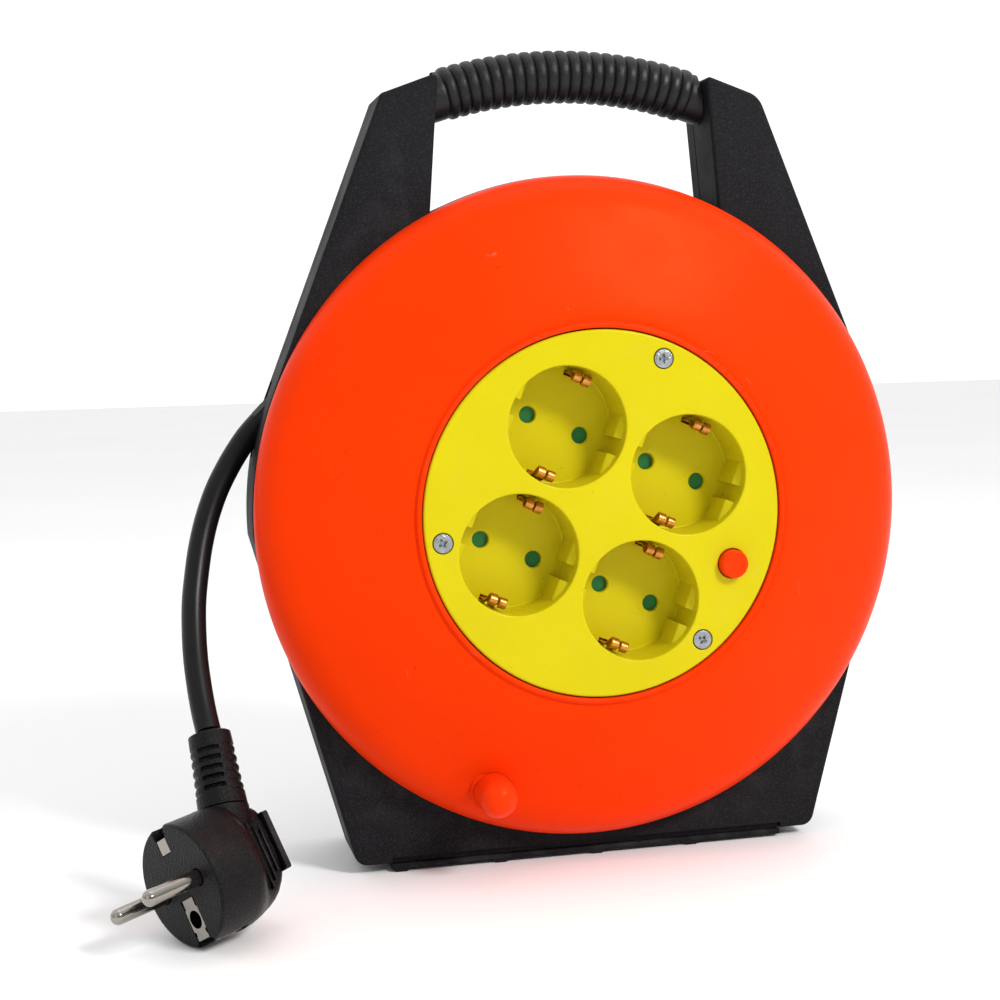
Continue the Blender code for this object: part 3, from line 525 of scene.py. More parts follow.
def moulded_plastic(
    name, colour, roughness, grain, mottle=0.06, specks=0.0, scuffs=0.0, gloss=0.22, tint=None
):
    """Injection-moulded plastic with spark-eroded grain, mottling, specks, scuffs and rubbed edges.

    grain is the size and depth of the texture in millimetres. A bright plastic has a tint for its
    gloss and, where it is scuffed, shows specks of dirt and pale scratches too.
    """
    material, tree, shader, place = start_material(name, colour, roughness)
    grain_mm, grain_depth = grain
    shader.inputs["Specular IOR Level"].default_value = gloss
    shader.inputs["Specular Tint"].default_value = (*(tint or (1, 1, 1)), 1)
    cloud = ramp(tree, noise(tree, place, 38, 3), 0.35, 0.65)
    tone = mix_colour(tree, cloud, shade(colour, 1 - mottle), shade(colour, 1 + mottle))
    if specks:
        speck = ramp(tree, noise(tree, place, grain_mm * 1.1, 1), 0.5, 0.78, 0.0, specks)
        tone = mix_colour(tree, speck, tone, tuple(0.5 * channel + 0.09 for channel in colour))
    worn = ramp(tree, noise(tree, place, 9, 4), 0.45, 0.75, 0.0, 0.35)
    rubbed = add_math(tree, edge_share(tree), worn, "MULTIPLY")
    tone = mix_colour(tree, rubbed, tone, tuple(0.8 * channel + 0.07 for channel in colour))
    if tint and scuffs:
        tone = add_marks(tree, place, tone, colour)
    tree.links.new(tone, shader.inputs["Base Color"])
    uneven = ramp(tree, noise(tree, place, 17, 4), 0.3, 0.7, roughness * 0.86, roughness * 1.14)
    if scuffs:
        lines = noise(tree, place, 5, 3, stretch=(1.0, 1.0, 0.08))
        thin = ramp(tree, lines, 0.66, 0.72, 0.0, scuffs)
        patches = ramp(tree, noise(tree, place, 30, 2), 0.5, 0.62)
        uneven = add_math(tree, uneven, add_math(tree, thin, patches, "MULTIPLY"))
    tree.links.new(uneven, shader.inputs["Roughness"])
    add_bump(tree, shader, noise(tree, place, grain_mm, 2.5), grain_depth)
    return material


def rubbed_metal(name, colour, roughness, pitting, tarnish=(0.5, 0.45, 0.4), tarnished=0.3):
    """Plated or stamped metal with uneven gloss and tarnish; pitting is its size and depth in millimetres."""
    material, tree, shader, place = start_material(name, colour, roughness, 1.0)
    dull = ramp(tree, noise(tree, place, 2.2, 4), 0.45, 0.72, 0.0, tarnished)
    tone = mix_colour(tree, dull, colour, tuple(a * b for a, b in zip(colour, tarnish)))
    tree.links.new(tone, shader.inputs["Base Color"])
    uneven = ramp(tree, noise(tree, place, 1.1, 3), 0.3, 0.7, roughness * 0.7, roughness * 1.4)
    tree.links.new(uneven, shader.inputs["Roughness"])
    pit_mm, pit_depth = pitting
    add_bump(tree, shader, noise(tree, place, pit_mm, 2), pit_depth)
    return material


BLACK = (0.0095, 0.009, 0.0104)
RED = (0.8, 0.034, 0.0012)
YELLOW = (0.57, 0.485, 0.005)
RED_GLOSS = (1.0, 0.35, 0.1)
YELLOW_GLOSS = (1.0, 0.92, 0.3)

casing_plastic = moulded_plastic(
    "casing_plastic", BLACK, 0.52, (0.45, 0.08), mottle=0.15, specks=0.16, scuffs=0.1, gloss=0.05
)
inner_plastic = moulded_plastic("inner_plastic", shade(BLACK, 0.8), 0.6, (0.5, 0.05), specks=0.2)
grip_plastic = moulded_plastic(
    "grip_plastic", (0.0065, 0.0065, 0.007), 0.42, (0.6, 0.08), mottle=0.2, specks=0.1, scuffs=0.2, gloss=0.25
)
disc_plastic = moulded_plastic(
    "disc_plastic", RED, 0.4, (1.1, 0.012), mottle=0.03, scuffs=0.12, gloss=0.12, tint=RED_GLOSS
)
knob_plastic = moulded_plastic(
    "knob_plastic", (0.82, 0.036, 0.003), 0.36, (0.9, 0.012), mottle=0.02, gloss=0.16, tint=RED_GLOSS
)
insert_plastic = moulded_plastic(
    "insert_plastic", YELLOW, 0.3, (1.2, 0.008), mottle=0.03, scuffs=0.1, tint=YELLOW_GLOSS
)
carrier_plastic = moulded_plastic("carrier_plastic", (0.25, 0.25, 0.26), 0.5, (0.6, 0.03))
shutter_plastic = moulded_plastic("shutter_plastic", (0.006, 0.16, 0.022), 0.35, (0.5, 0.02))
plug_plastic = moulded_plastic(
    "plug_plastic", (0.0045, 0.004, 0.0045), 0.32, (0.55, 0.4), mottle=0.15, specks=0.05, gloss=0.13
)
sheath_plastic = moulded_plastic(
    "sheath_plastic", (0.005, 0.0046, 0.0048), 0.34, (0.9, 0.02), mottle=0.12, scuffs=0.15, gloss=0.2
)
zinc_steel = rubbed_metal("zinc_steel", (0.34, 0.36, 0.38), 0.36, (0.7, 0.2), tarnished=0.5)
contact_brass = rubbed_metal(
    "contact_brass", (0.62, 0.27, 0.06), 0.34, (0.4, 0.03), tarnish=(0.5, 0.4, 0.35), tarnished=0.6
)
nickel_plate = rubbed_metal("nickel_plate", (0.33, 0.31, 0.28), 0.13, (0.4, 0.008), tarnish=(0.7, 0.68, 0.64))

# ---------------------------------------------------------------- cord


def build_lead():
    """The free lead from the casing's outlet to the plug's boot."""
    data = bpy.data.curves.new("lead", "CURVE")
    data.dimensions = "3D"
    data.bevel_depth = CORD_RADIUS * MM
    data.bevel_resolution = 8
    data.use_fill_caps = True
    path = smooth_path(LEAD_ROUTE, 3.0)
    path[0] -= (path[1] - path[0]).normalized() * 0.6
    spline = data.splines.new("POLY")
    spline.points.add(len(path) - 1)
    for point, place in zip(spline.points, path):
        point.co = (*(REEL @ place), 1.0)
    spline.use_smooth = True
    data.materials.append(sheath_plastic)
    lead = bpy.data.objects.new("lead", data)
    bpy.context.scene.collection.objects.link(lead)
    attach(lead, "casing")
    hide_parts("lead_cord")
    length = sum((b - a).length for a, b in zip(path, path[1:])) * MM
    return lead, length


lead, lead_length = build_lead()

# ---------------------------------------------------------------- casing


def casing_half(inner, outer):
    """Right half of the casing's outline; inner and outer are the radii of its post's top corners."""
    foot = POST_INNER_FOOT
    foot_angle = math.degrees(math.atan2(foot[1], foot[0]))
    tangent = arc(CASE_RADIUS, UPPER_TANGENT, UPPER_TANGENT, 1)[0]
    lower = arc(CASE_RADIUS, LOWER_TANGENT, LOWER_TANGENT, 1)[0]
    half = arc(CASE_RADIUS, 90, foot_angle, 20)
    half += rounded_corner(foot, POST_INNER_TOP, POST_OUTER_TOP, inner)
    half += rounded_corner(POST_INNER_TOP, POST_OUTER_TOP, tangent, outer)
    half += arc(CASE_RADIUS, UPPER_TANGENT, LOWER_TANGENT, 24)
    return half + rounded_corner(lower, BASE_CORNER, (0.0, CASE_BOTTOM), BASE_ROUND)


def casing_outline(inner, left, right):
    """Whole outline: the left post's shoulder is crisp, the right one's is rounded."""
    return casing_half(inner, right) + [(-x, z) for x, z in reversed(casing_half(inner, left)[1:])]


def cup_outline():
    """Outline of the deep back half, which holds the drum and stands on the base."""
    lower = arc(CUP_RADIUS, LOWER_TANGENT, LOWER_TANGENT, 1)[0]
    half = arc(CUP_RADIUS, 90, LOWER_TANGENT, 72)
    half += rounded_corner(lower, CUP_CORNER, (0.0, CUP_CORNER[1]), CUP_BASE_ROUND)
    return mirrored(half)


def handle_centre(along):
    """Centre and lean of the handle at a distance along its arc from the crown."""
    angle = along / GRIP_ARC
    return GRIP_ARC * math.sin(angle), GRIP_TOP - GRIP_ARC + GRIP_ARC * math.cos(angle), angle


def handle_ring(x, z, angle, radius, count=GRIP_SIDES):
    ring = []
    for step in range(count):
        turn = 2 * math.pi * step / count
        out = radius * math.cos(turn)
        depth = GRIP_DEPTH + radius * math.sin(turn)
        ring.append((x + out * math.sin(angle), depth, z + out * math.cos(angle)))
    return ring


def trimmed_ring(ring, angle):
    """The ring slid along the handle onto the plane of the post it meets, less a gap."""
    side = math.copysign(1.0, angle)
    x_foot, z_foot = POST_INNER_FOOT
    x_top, z_top = POST_INNER_TOP
    lean = (x_top - x_foot) / (z_top - z_foot)
    slope = -math.tan(angle)
    trimmed = []
    for x, y, z in ring:
        wall = side * (x_foot + lean * (z - z_foot) - GAP)
        slide = (wall - x) / (1 - side * lean * slope)
        trimmed.append((x + slide, y, z + slope * slide))
    return trimmed


def handle_rings(radius, reach, count):
    """Rings along the handle's arc, out to reach on both sides of the crown."""
    length = 2 * GRIP_ARC * math.asin(reach / GRIP_ARC)
    return [handle_ring(*handle_centre(length * (step / 24 - 0.5)), radius, count) for step in range(25)]


def handle_bar(radius, reach):
    return skin(handle_rings(radius, reach, 48))


SCREW_SITES = [(side * x, z, seat) for x, z, seat in (
    (57.0, 119.0, POST_BACK - 1.6),
    (73.0, 84.0, POST_BACK - 1.6),
    (74.0, -100.0, POST_BACK + 0.6),
) for side in (-1, 1)]


def outlet_slot():
    """Cutter for the slot in the left wall that the lead leaves by."""
    outlet = Vector((LEAD_ROUTE[0][0], LEAD_ROUTE[0][2]))
    along = Vector((-0.709, -0.705)).normalized()
    sideways = Vector((along.y, -along.x)) * SLOT_HALF_WIDTH
    corners = [outlet - along * 17 - sideways, outlet + along * 12 - sideways]
    corners += [outlet + along * 12 + sideways, outlet - along * 17 + sideways]
    return slab([tuple(corner) for corner in corners], PARTING - 2, 46.2)


def build_casing():
    outline = casing_outline(*POST_ROUNDS)
    hollow = inset(casing_outline(WALL + 1, WALL + 1, POST_ROUNDS[2]), WALL)
    cup = cup_outline()
    groove = (CASE_FRONT - 2, CASE_FRONT + 1.8, CASE_BOTTOM - 1, CASE_BOTTOM + 2.1)
    steps = [
        ("DIFFERENCE", slab(hollow, CASE_FRONT + WALL, PARTING + 2)),
        ("DIFFERENCE", rod(DISC_WINDOW_RADIUS, CASE_FRONT - 2, CASE_FRONT + WALL + 1, count=180)),
        ("DIFFERENCE", box(-FOOT_REACH, FOOT_REACH, *groove)),
        ("DIFFERENCE", handle_bar(CORE_RADIUS + 2 * GAP, CORE_REACH)),
    ]
    front = slab(outline, CASE_FRONT, PARTING - GAP / 2, near_round=1.2, far_round=0.25)
    add_piece("front_casing", front, REEL, "casing", casing_plastic, ["front_shell"], steps)
    back = slab(outline, PARTING + GAP / 2, POST_BACK, near_round=0.25, far_round=1.2)
    low_sites = [(x, z) for x, z, seat in SCREW_SITES if seat > POST_BACK]
    bosses = [rod(BOSS_RADIUS, POST_BACK - WALL, CASE_BACK - 1, site, 40) for site in low_sites]
    steps = [("UNION", slab(cup, POST_BACK - 2, CASE_BACK, far_round=4.5, steps=8))]
    steps.append(("DIFFERENCE", slab(hollow, PARTING - 2, POST_BACK - WALL)))
    steps.append(("DIFFERENCE", slab(inset(cup, WALL), PARTING - 2, CASE_BACK - WALL)))
    steps.append(("UNION", merged(bosses)))
    shafts = []
    inside = POST_BACK - WALL - 1
    for x, z, seat in SCREW_SITES:
        shaft = [(0, inside), (2.3, inside), (2.3, seat), (3.9, seat), (4.1, CASE_BACK - 25)]
        shafts.append(turned(shaft + [(4.1, CASE_BACK + 2), (0, CASE_BACK + 2)], 36, (x, z)))
    steps.append(("DIFFERENCE", merged(shafts)))
    steps.append(("DIFFERENCE", handle_bar(CORE_RADIUS + 2 * GAP, CORE_REACH)))
    steps.append(("DIFFERENCE", outlet_slot()))
    hub = [(0, -6), (6.2, -6), (6.2, -1.5), (12.5, -1.5), (12.5, -0.4), (12.9, 0), (12.9, 2), (0, 2)]
    steps.append(("DIFFERENCE", turned([(r, CASE_BACK + d) for r, d in hub], 72)))
    add_piece("rear_casing", back, REEL, "casing", casing_plastic, ["rear_shell"], steps)


def build_foot():
    """Base strip with four runners, its ends and edges softened."""
    top = CASE_BOTTOM - GAP
    under = FLOOR + RUNNER_HEIGHT
    outline = [(-FOOT_REACH, top), (FOOT_REACH, top), (FOOT_REACH, under)]
    for x in RUNNER_CENTRES:
        outline += [(x + 2.8, under), (x + 1.8, FLOOR), (x - 1.8, FLOOR), (x - 2.8, under)]
    outline.append((-FOOT_REACH, under))
    shape = slab(softened(outline, 0.5), CASE_FRONT + 0.6, CASE_BACK - 2, 0.3, 0.3, 3)
    add_piece("foot_strip", shape, REEL, "casing", casing_plastic, ["foot_rail"])


def rib_radius(share):
    """Radius over one rib: a broad crown between narrow grooves."""
    return RIB_PEAK - (RIB_PEAK - RIB_VALLEY) * abs(2 * share - 1) ** 3.2


def build_grip():
    """Ribbed tube with a smooth collar at each end, which meets its post in a slanting plane."""
    limit = math.asin(GRIP_REACH / GRIP_ARC)
    length = 2 * GRIP_ARC * limit
    collar = (length - RIBS * RIB_PITCH) / 2
    samples = 12
    ends = [(0.0, COLLAR_RADIUS - 0.05), (collar * 0.5, COLLAR_RADIUS), (collar * 0.92, COLLAR_RADIUS - 0.1)]
    places = list(ends)
    for rib in range(RIBS):
        for sample in range(samples):
            places.append((collar + (rib + sample / samples) * RIB_PITCH, rib_radius(sample / samples)))
    places.append((length - collar, RIB_VALLEY))
    places += [(length - along, radius) for along, radius in reversed(ends)]
    rings = [handle_ring(*handle_centre(along - length / 2), radius) for along, radius in places]
    rings[0] = trimmed_ring(rings[0], -limit)
    rings[-1] = trimmed_ring(rings[-1], limit)
    bore = handle_rings(CORE_RADIUS + GAP, GRIP_REACH, GRIP_SIDES)
    bore[0] = trimmed_ring(bore[0], -limit)
    bore[-1] = trimmed_ring(bore[-1], limit)
    shape = skin(rings + bore[::-1], closed_loop=True)
    add_piece("ribbed_grip", shape, REEL, "casing", grip_plastic, ["handle_grip"], smooth=50)


def screw_head(radius, height, dome, cross, depth):
    """Head profile for turned(): a rim, a low dome and a flat middle; and the arms that cut its cross."""
    profile = [(0, -dome), (radius * 0.45, -dome * 0.9), (radius * 0.8, -dome * 0.45), (radius * 0.96, 0.12)]
    profile += [(radius, 0.45), (radius, height)]
    arms = []
    for turn in (0, math.pi / 2):
        near = [(-cross, -0.55), (cross, -0.55), (cross, 0.55), (-cross, 0.55)]
        far = [(-cross * 0.3, -0.3), (cross * 0.3, -0.3), (cross * 0.3, 0.3), (-cross * 0.3, 0.3)]
        rings = [[(x, -dome - 0.5, z) for x, z in near], [(x, depth, z) for x, z in far]]
        arms.append(moved(skin(rings), Matrix.Rotation(turn, 4, "Y")))
    return profile, arms


def build_casing_screws():
    for number, (x, z, seat) in enumerate(SCREW_SITES, start=1):
        profile, arms = screw_head(3.4, 1.6, 0.35, 2.7, 1.3)
        shape = turned(profile + [(THREAD_RADIUS, 1.6), (THREAD_RADIUS, 15.0), (0, 15.0)], 40)
        turn = Matrix.Translation((x, seat + 1.9, z)) @ Matrix.Rotation(math.radians(180), 4, "X")
        turn = turn @ Matrix.Rotation(0.7 * number, 4, "Y")
        steps = [("DIFFERENCE", arm) for arm in arms]
        place = REEL @ turn
        nodes = [f"casing_screw_{number}"]
        add_piece(f"back_screw_{number}", shape, place, "casing", zinc_steel, nodes, steps)


# ---------------------------------------------------------------- drum


def drum_point(radius, degrees):
    angle = math.radians(degrees)
    return (radius * math.cos(angle), radius * math.sin(angle))


def build_disc():
    """Domed red disc with a lip round the insert, a rolled rim and a seat for the knob."""
    dome = [(63.0, 0.85), (68.0, 1.75), (75.0, 3.5), (86.5, 6.8), (96.5, 10.1), (100.6, 11.7)]
    dome += [(104.4, 14.0), (107.2, 17.0), (108.9, 20.3), (DISC_RADIUS, 23.3)]
    crown = [(p.x, p.y) for p in smooth_path([(r, d, 0) for r, d in dome], 1.3)]
    lip = [(59.3, 2.2), (59.32, 0.3), (59.5, -0.1), (59.85, -0.32), (60.35, -0.35)]
    lip += [(60.8, -0.2), (61.1, 0.15), (61.25, 0.8), (61.6, 0.98), (62.2, 0.88)]
    back = [(108.9, 23.75), (107.6, 23.6), (106.6, 22.4), (105.2, 18.6), (101.4, 15.0)]
    back += [(97.2, 13.2), (74.2, 6.0), (61.9, 3.6), (61.9, 24.6), (59.3, 24.6)]
    shape = turned(lip + crown + back, 224)
    seat = [(0, 8.6), (6.2, 8.6), (6.7, 8.75), (7.0, 9.2), (7.0, 15.0), (0, 15.0)]
    knob_place = (0, -KNOB_RADIUS)
    steps = [("UNION", turned(seat, 64, knob_place)), ("DIFFERENCE", rod(2.4, 4.0, 18.0, knob_place, 32))]
    add_piece("red_disc", shape, DRUM, "drum", disc_plastic, ["front_disc"], steps, smooth=30)


def recess_cutter(centre):
    """Turned cutter for one socket, with a rounded rim and a small fillet at the floor."""
    r = RECESS_RADIUS
    depth = RECESS_DEPTH
    rim = [(0, -1.0), (r + 0.62, -1.0), (r + 0.6, 0.0), (r + 0.3, 0.1), (r + 0.1, 0.3), (r, 0.65)]
    floor = [(r - 0.15, depth - 0.9), (r - 0.4, depth - 0.3), (r - 1.0, depth), (0, depth)]
    return turned(rim + floor, 96, centre)


def guide_block(centre, side, end):
    """Keyed block on the recess wall, its top sloping down to the chord."""
    u, w = centre
    rings = []
    sections = [(RECESS_DEPTH + 0.8, CHORD_REACH), (5.2, CHORD_REACH), (4.5, CHORD_REACH + 0.3), (3.1, 18.6)]
    for depth, reach in sections:
        outer = RECESS_RADIUS + 0.5
        outline = [(reach, 2.8), (outer, 2.8), (outer - 0.7, 6.0), (reach + 1.0, 10.2), (reach, 10.2)]
        rings.append([(u + side * x, depth, w + end * z) for x, z in outline])
    return skin(rings)


def build_insert():
    plate = slab(circle(INSERT_RADIUS, 192), 0.0, PLATE, near_round=0.9, steps=6)
    wells = [rod(RECESS_RADIUS + 1.6, JOIN_DEPTH, WELL_DEPTH, centre, 72) for centre in SOCKET_CENTRES]
    screws = [drum_point(INSERT_SCREW_RADIUS, degrees) for degrees in INSERT_SCREW_ANGLES]
    bosses = [rod(3.6, JOIN_DEPTH, 22.7, place, 32) for place in screws]
    guides = [guide_block(c, side, end) for c in SOCKET_CENTRES for side in (-1, 1) for end in (-1, 1)]
    pins = []
    slots = []
    for u, w in SOCKET_CENTRES:
        hole = [(0, 17.0), (3.1, 17.0), (3.05, 17.52), (2.8, 17.75), (2.7, 18.1), (2.7, 20.0), (0, 20.0)]
        for side in (-1, 1):
            pins.append(turned(hole, 36, (u + side * PIN_OFFSET, w)))
            z = w + side * EARTH_REACH
            slots.append(box(u - 3.1, u + 3.1, 16.4, 20.0, z - 0.9, z + 0.9))
    steps = [
        ("UNION", merged(wells)),
        ("UNION", merged(bosses)),
        ("DIFFERENCE", merged([recess_cutter(centre) for centre in SOCKET_CENTRES])),
        ("UNION", merged(guides)),
        ("DIFFERENCE", merged(pins)),
        ("DIFFERENCE", merged(slots)),
    ]
    seat = [(0, -1), (3.75, -1), (3.7, 0), (3.45, 0.15), (3.4, 0.5), (3.4, 1.8)]
    seat += [(2.0, 1.8), (2.0, 24.0), (0, 24.0)]
    steps.append(("DIFFERENCE", merged([turned(seat, 40, place) for place in screws])))
    button = [(0, -1), (5.3, -1), (5.25, 0), (5.0, 0.12), (4.9, 0.4), (4.9, 4.0), (0, 4.0)]
    steps.append(("DIFFERENCE", turned(button, 56, (BUTTON_RADIUS, 0))))
    nodes = ["socket_insert"]
    add_piece("yellow_insert", plate, DRUM, "drum", insert_plastic, nodes, steps, smooth=32)


def build_earth_clips():
    """Bent brass strips: a bridge behind each socket and two sprung fingers at either side."""
    section = [(-0.24, -1.25), (-0.32, -1.0), (-0.32, 1.0), (-0.24, 1.25)]
    section += [(0.24, 1.25), (0.32, 1.0), (0.32, -1.0), (0.24, -1.25)]
    for number, (u, w) in enumerate(SOCKET_CENTRES, start=1):
        shapes = [box(u - 2.7, u + 2.7, 24.0, 24.8, w - 17.7, w + 17.7, 0.1)]
        for side in (-1, 1):
            for finger in (-1, 1):
                reach = 14.6 if finger * side > 0 else 14.9
                route = [(EARTH_REACH, 24.4), (EARTH_REACH, 18.0), (17.5, 12.5), (16.9, 9.8), (15.4, 7.6)]
                route += [(reach, 6.0), (15.2, 4.6), (16.4, 4.0), (17.4, 4.5), (17.9, 5.6)]
                path = smooth_path([(u + finger * 1.65, d, w + side * r) for r, d in route], 0.6)
                shapes.append(swept(path, section, up=Vector((1, 0, 0))))
        shape = merged(shapes)
        nodes = [f"earth_clip_{number}"]
        add_piece(f"earth_strip_{number}", shape, DRUM, "drum", contact_brass, nodes)


def build_insert_screws():
    for number, degrees in enumerate(INSERT_SCREW_ANGLES, start=1):
        profile, arms = screw_head(3.12, 1.5, 0.0, 2.1, 0.9)
        shape = turned(profile + [(THREAD_RADIUS, 1.5), (THREAD_RADIUS, 36.0), (0, 36.0)], 56)
        x, z = drum_point(INSERT_SCREW_RADIUS, degrees)
        place = DRUM @ Matrix.Translation((x, 0.05, z)) @ Matrix.Rotation(1.1 * number, 4, "Y")
        steps = [("DIFFERENCE", arm) for arm in arms]
        nodes = [f"insert_screw_{number}"]
        add_piece(f"plate_screw_{number}", shape, place, "drum", zinc_steel, nodes, steps, 30)


def build_button():
    """Push button with a stop flange and a pocket that the spring enters as it is pressed."""
    profile = [(0, -2.8), (2.4, -2.88), (3.0, -3.12), (3.7, -3.2), (4.2, -3.05), (4.5, -2.7), (4.6, -2.2)]
    profile += [(4.6, 3.1), (6.0, 3.1), (6.0, 4.0), (4.25, 4.0), (4.25, 1.7), (2.3, 1.7)]
    profile += [(2.3, 13.0), (0, 13.0)]
    shape = turned(profile, 72)
    place = DRUM @ Matrix.Translation((BUTTON_RADIUS, 0, 0))
    add_piece("red_button", shape, place, "button", knob_plastic, ["reset_button"], smooth=40)


def build_knob():
    turns = [math.radians(angle) for angle in range(0, 91, 5)]
    dome = [(KNOB_BALL * math.sin(turn), -0.2 - KNOB_BALL * math.cos(turn)) for turn in turns]
    profile = dome + [(6.32, 3.0), (6.4, 6.6), (6.3, 7.4), (6.0, 7.7), (2.4, 7.7), (2.4, -1.0), (0, -1.0)]
    shape = turned(profile, 80)
    place = DRUM @ Matrix.Translation((0, 0, -KNOB_RADIUS))
    add_piece("finger_knob", shape, place, "knob", knob_plastic, ["crank_knob"], smooth=40)


def build_winding():
    """The rest of the cable on the barrel: nested layers of turns, each a cord's width from the next."""
    pitch = 2 * CORD_RADIUS + 0.15
    path = []
    front = WINDING_FRONT + CORD_RADIUS + 0.2
    samples = 144
    for layer in range(WINDING_LAYERS):
        radius = WINDING_RADIUS + layer * LAYER_RISE
        for step in range(int(WINDING_TURNS * samples) + 1):
            share = step / (WINDING_TURNS * samples)
            travel = share if layer % 2 == 0 else 1 - share
            angle = 2 * math.pi * (layer * WINDING_TURNS + step / samples)
            depth = front + travel * 4 * pitch
            path.append(Vector((radius * math.cos(angle), depth, radius * math.sin(angle))))
    turns = [step * math.pi / 6 for step in range(12)]
    section = [(CORD_RADIUS * math.cos(turn), CORD_RADIUS * math.sin(turn)) for turn in turns]
    shape = swept(path[::3], section, up=Vector((0, 1, 0)))
    nodes = ["wound_cable"]
    add_piece("cable_winding", shape, DRUM, "drum", sheath_plastic, nodes, smooth=80)


# ---------------------------------------------------------------- plug


def plug_matrix():
    """Local X along the pin pair, Y towards the earth contact's side, Z out of the plug's face."""
    out = PLUG_PIN_AXIS.normalized()
    down = (PLUG_EARTH_AXIS - out * PLUG_EARTH_AXIS.dot(out)).normalized()
    turn = Matrix((down.cross(out), down, out)).transposed()
    return REEL @ Matrix.Translation(PLUG_FACE) @ turn.to_4x4()


PLUG = plug_matrix()


def plug_section(depth, half_width, top, bottom, square, count=72):
    """One cross-section of the plug body: a superellipse between top and bottom."""
    ring = []
    for step in range(count):
        angle = 2 * math.pi * step / count
        x = math.copysign(abs(math.cos(angle)) ** (2 / square), math.cos(angle))
        y = math.copysign(abs(math.sin(angle)) ** (2 / square), math.sin(angle))
        ring.append((half_width * x, (top + bottom) / 2 + (bottom - top) / 2 * y, depth))
    return ring


def block(x_low, x_high, y_low, y_high, z_low, z_high, edge=0.0):
    """Plate in the plug's frame, optionally with rounded long edges."""
    corners = [(x_low, y_low), (x_high, y_low), (x_high, y_high), (x_low, y_high)]
    if edge:
        corners = softened(corners, edge)
    return skin([[(x, y, z) for x, y in corners] for z in (z_low, z_high)])


def pole(radius, low, high, place, count=40):
    return rod_along(Vector((*place, low)), Vector((*place, high)), radius, count)


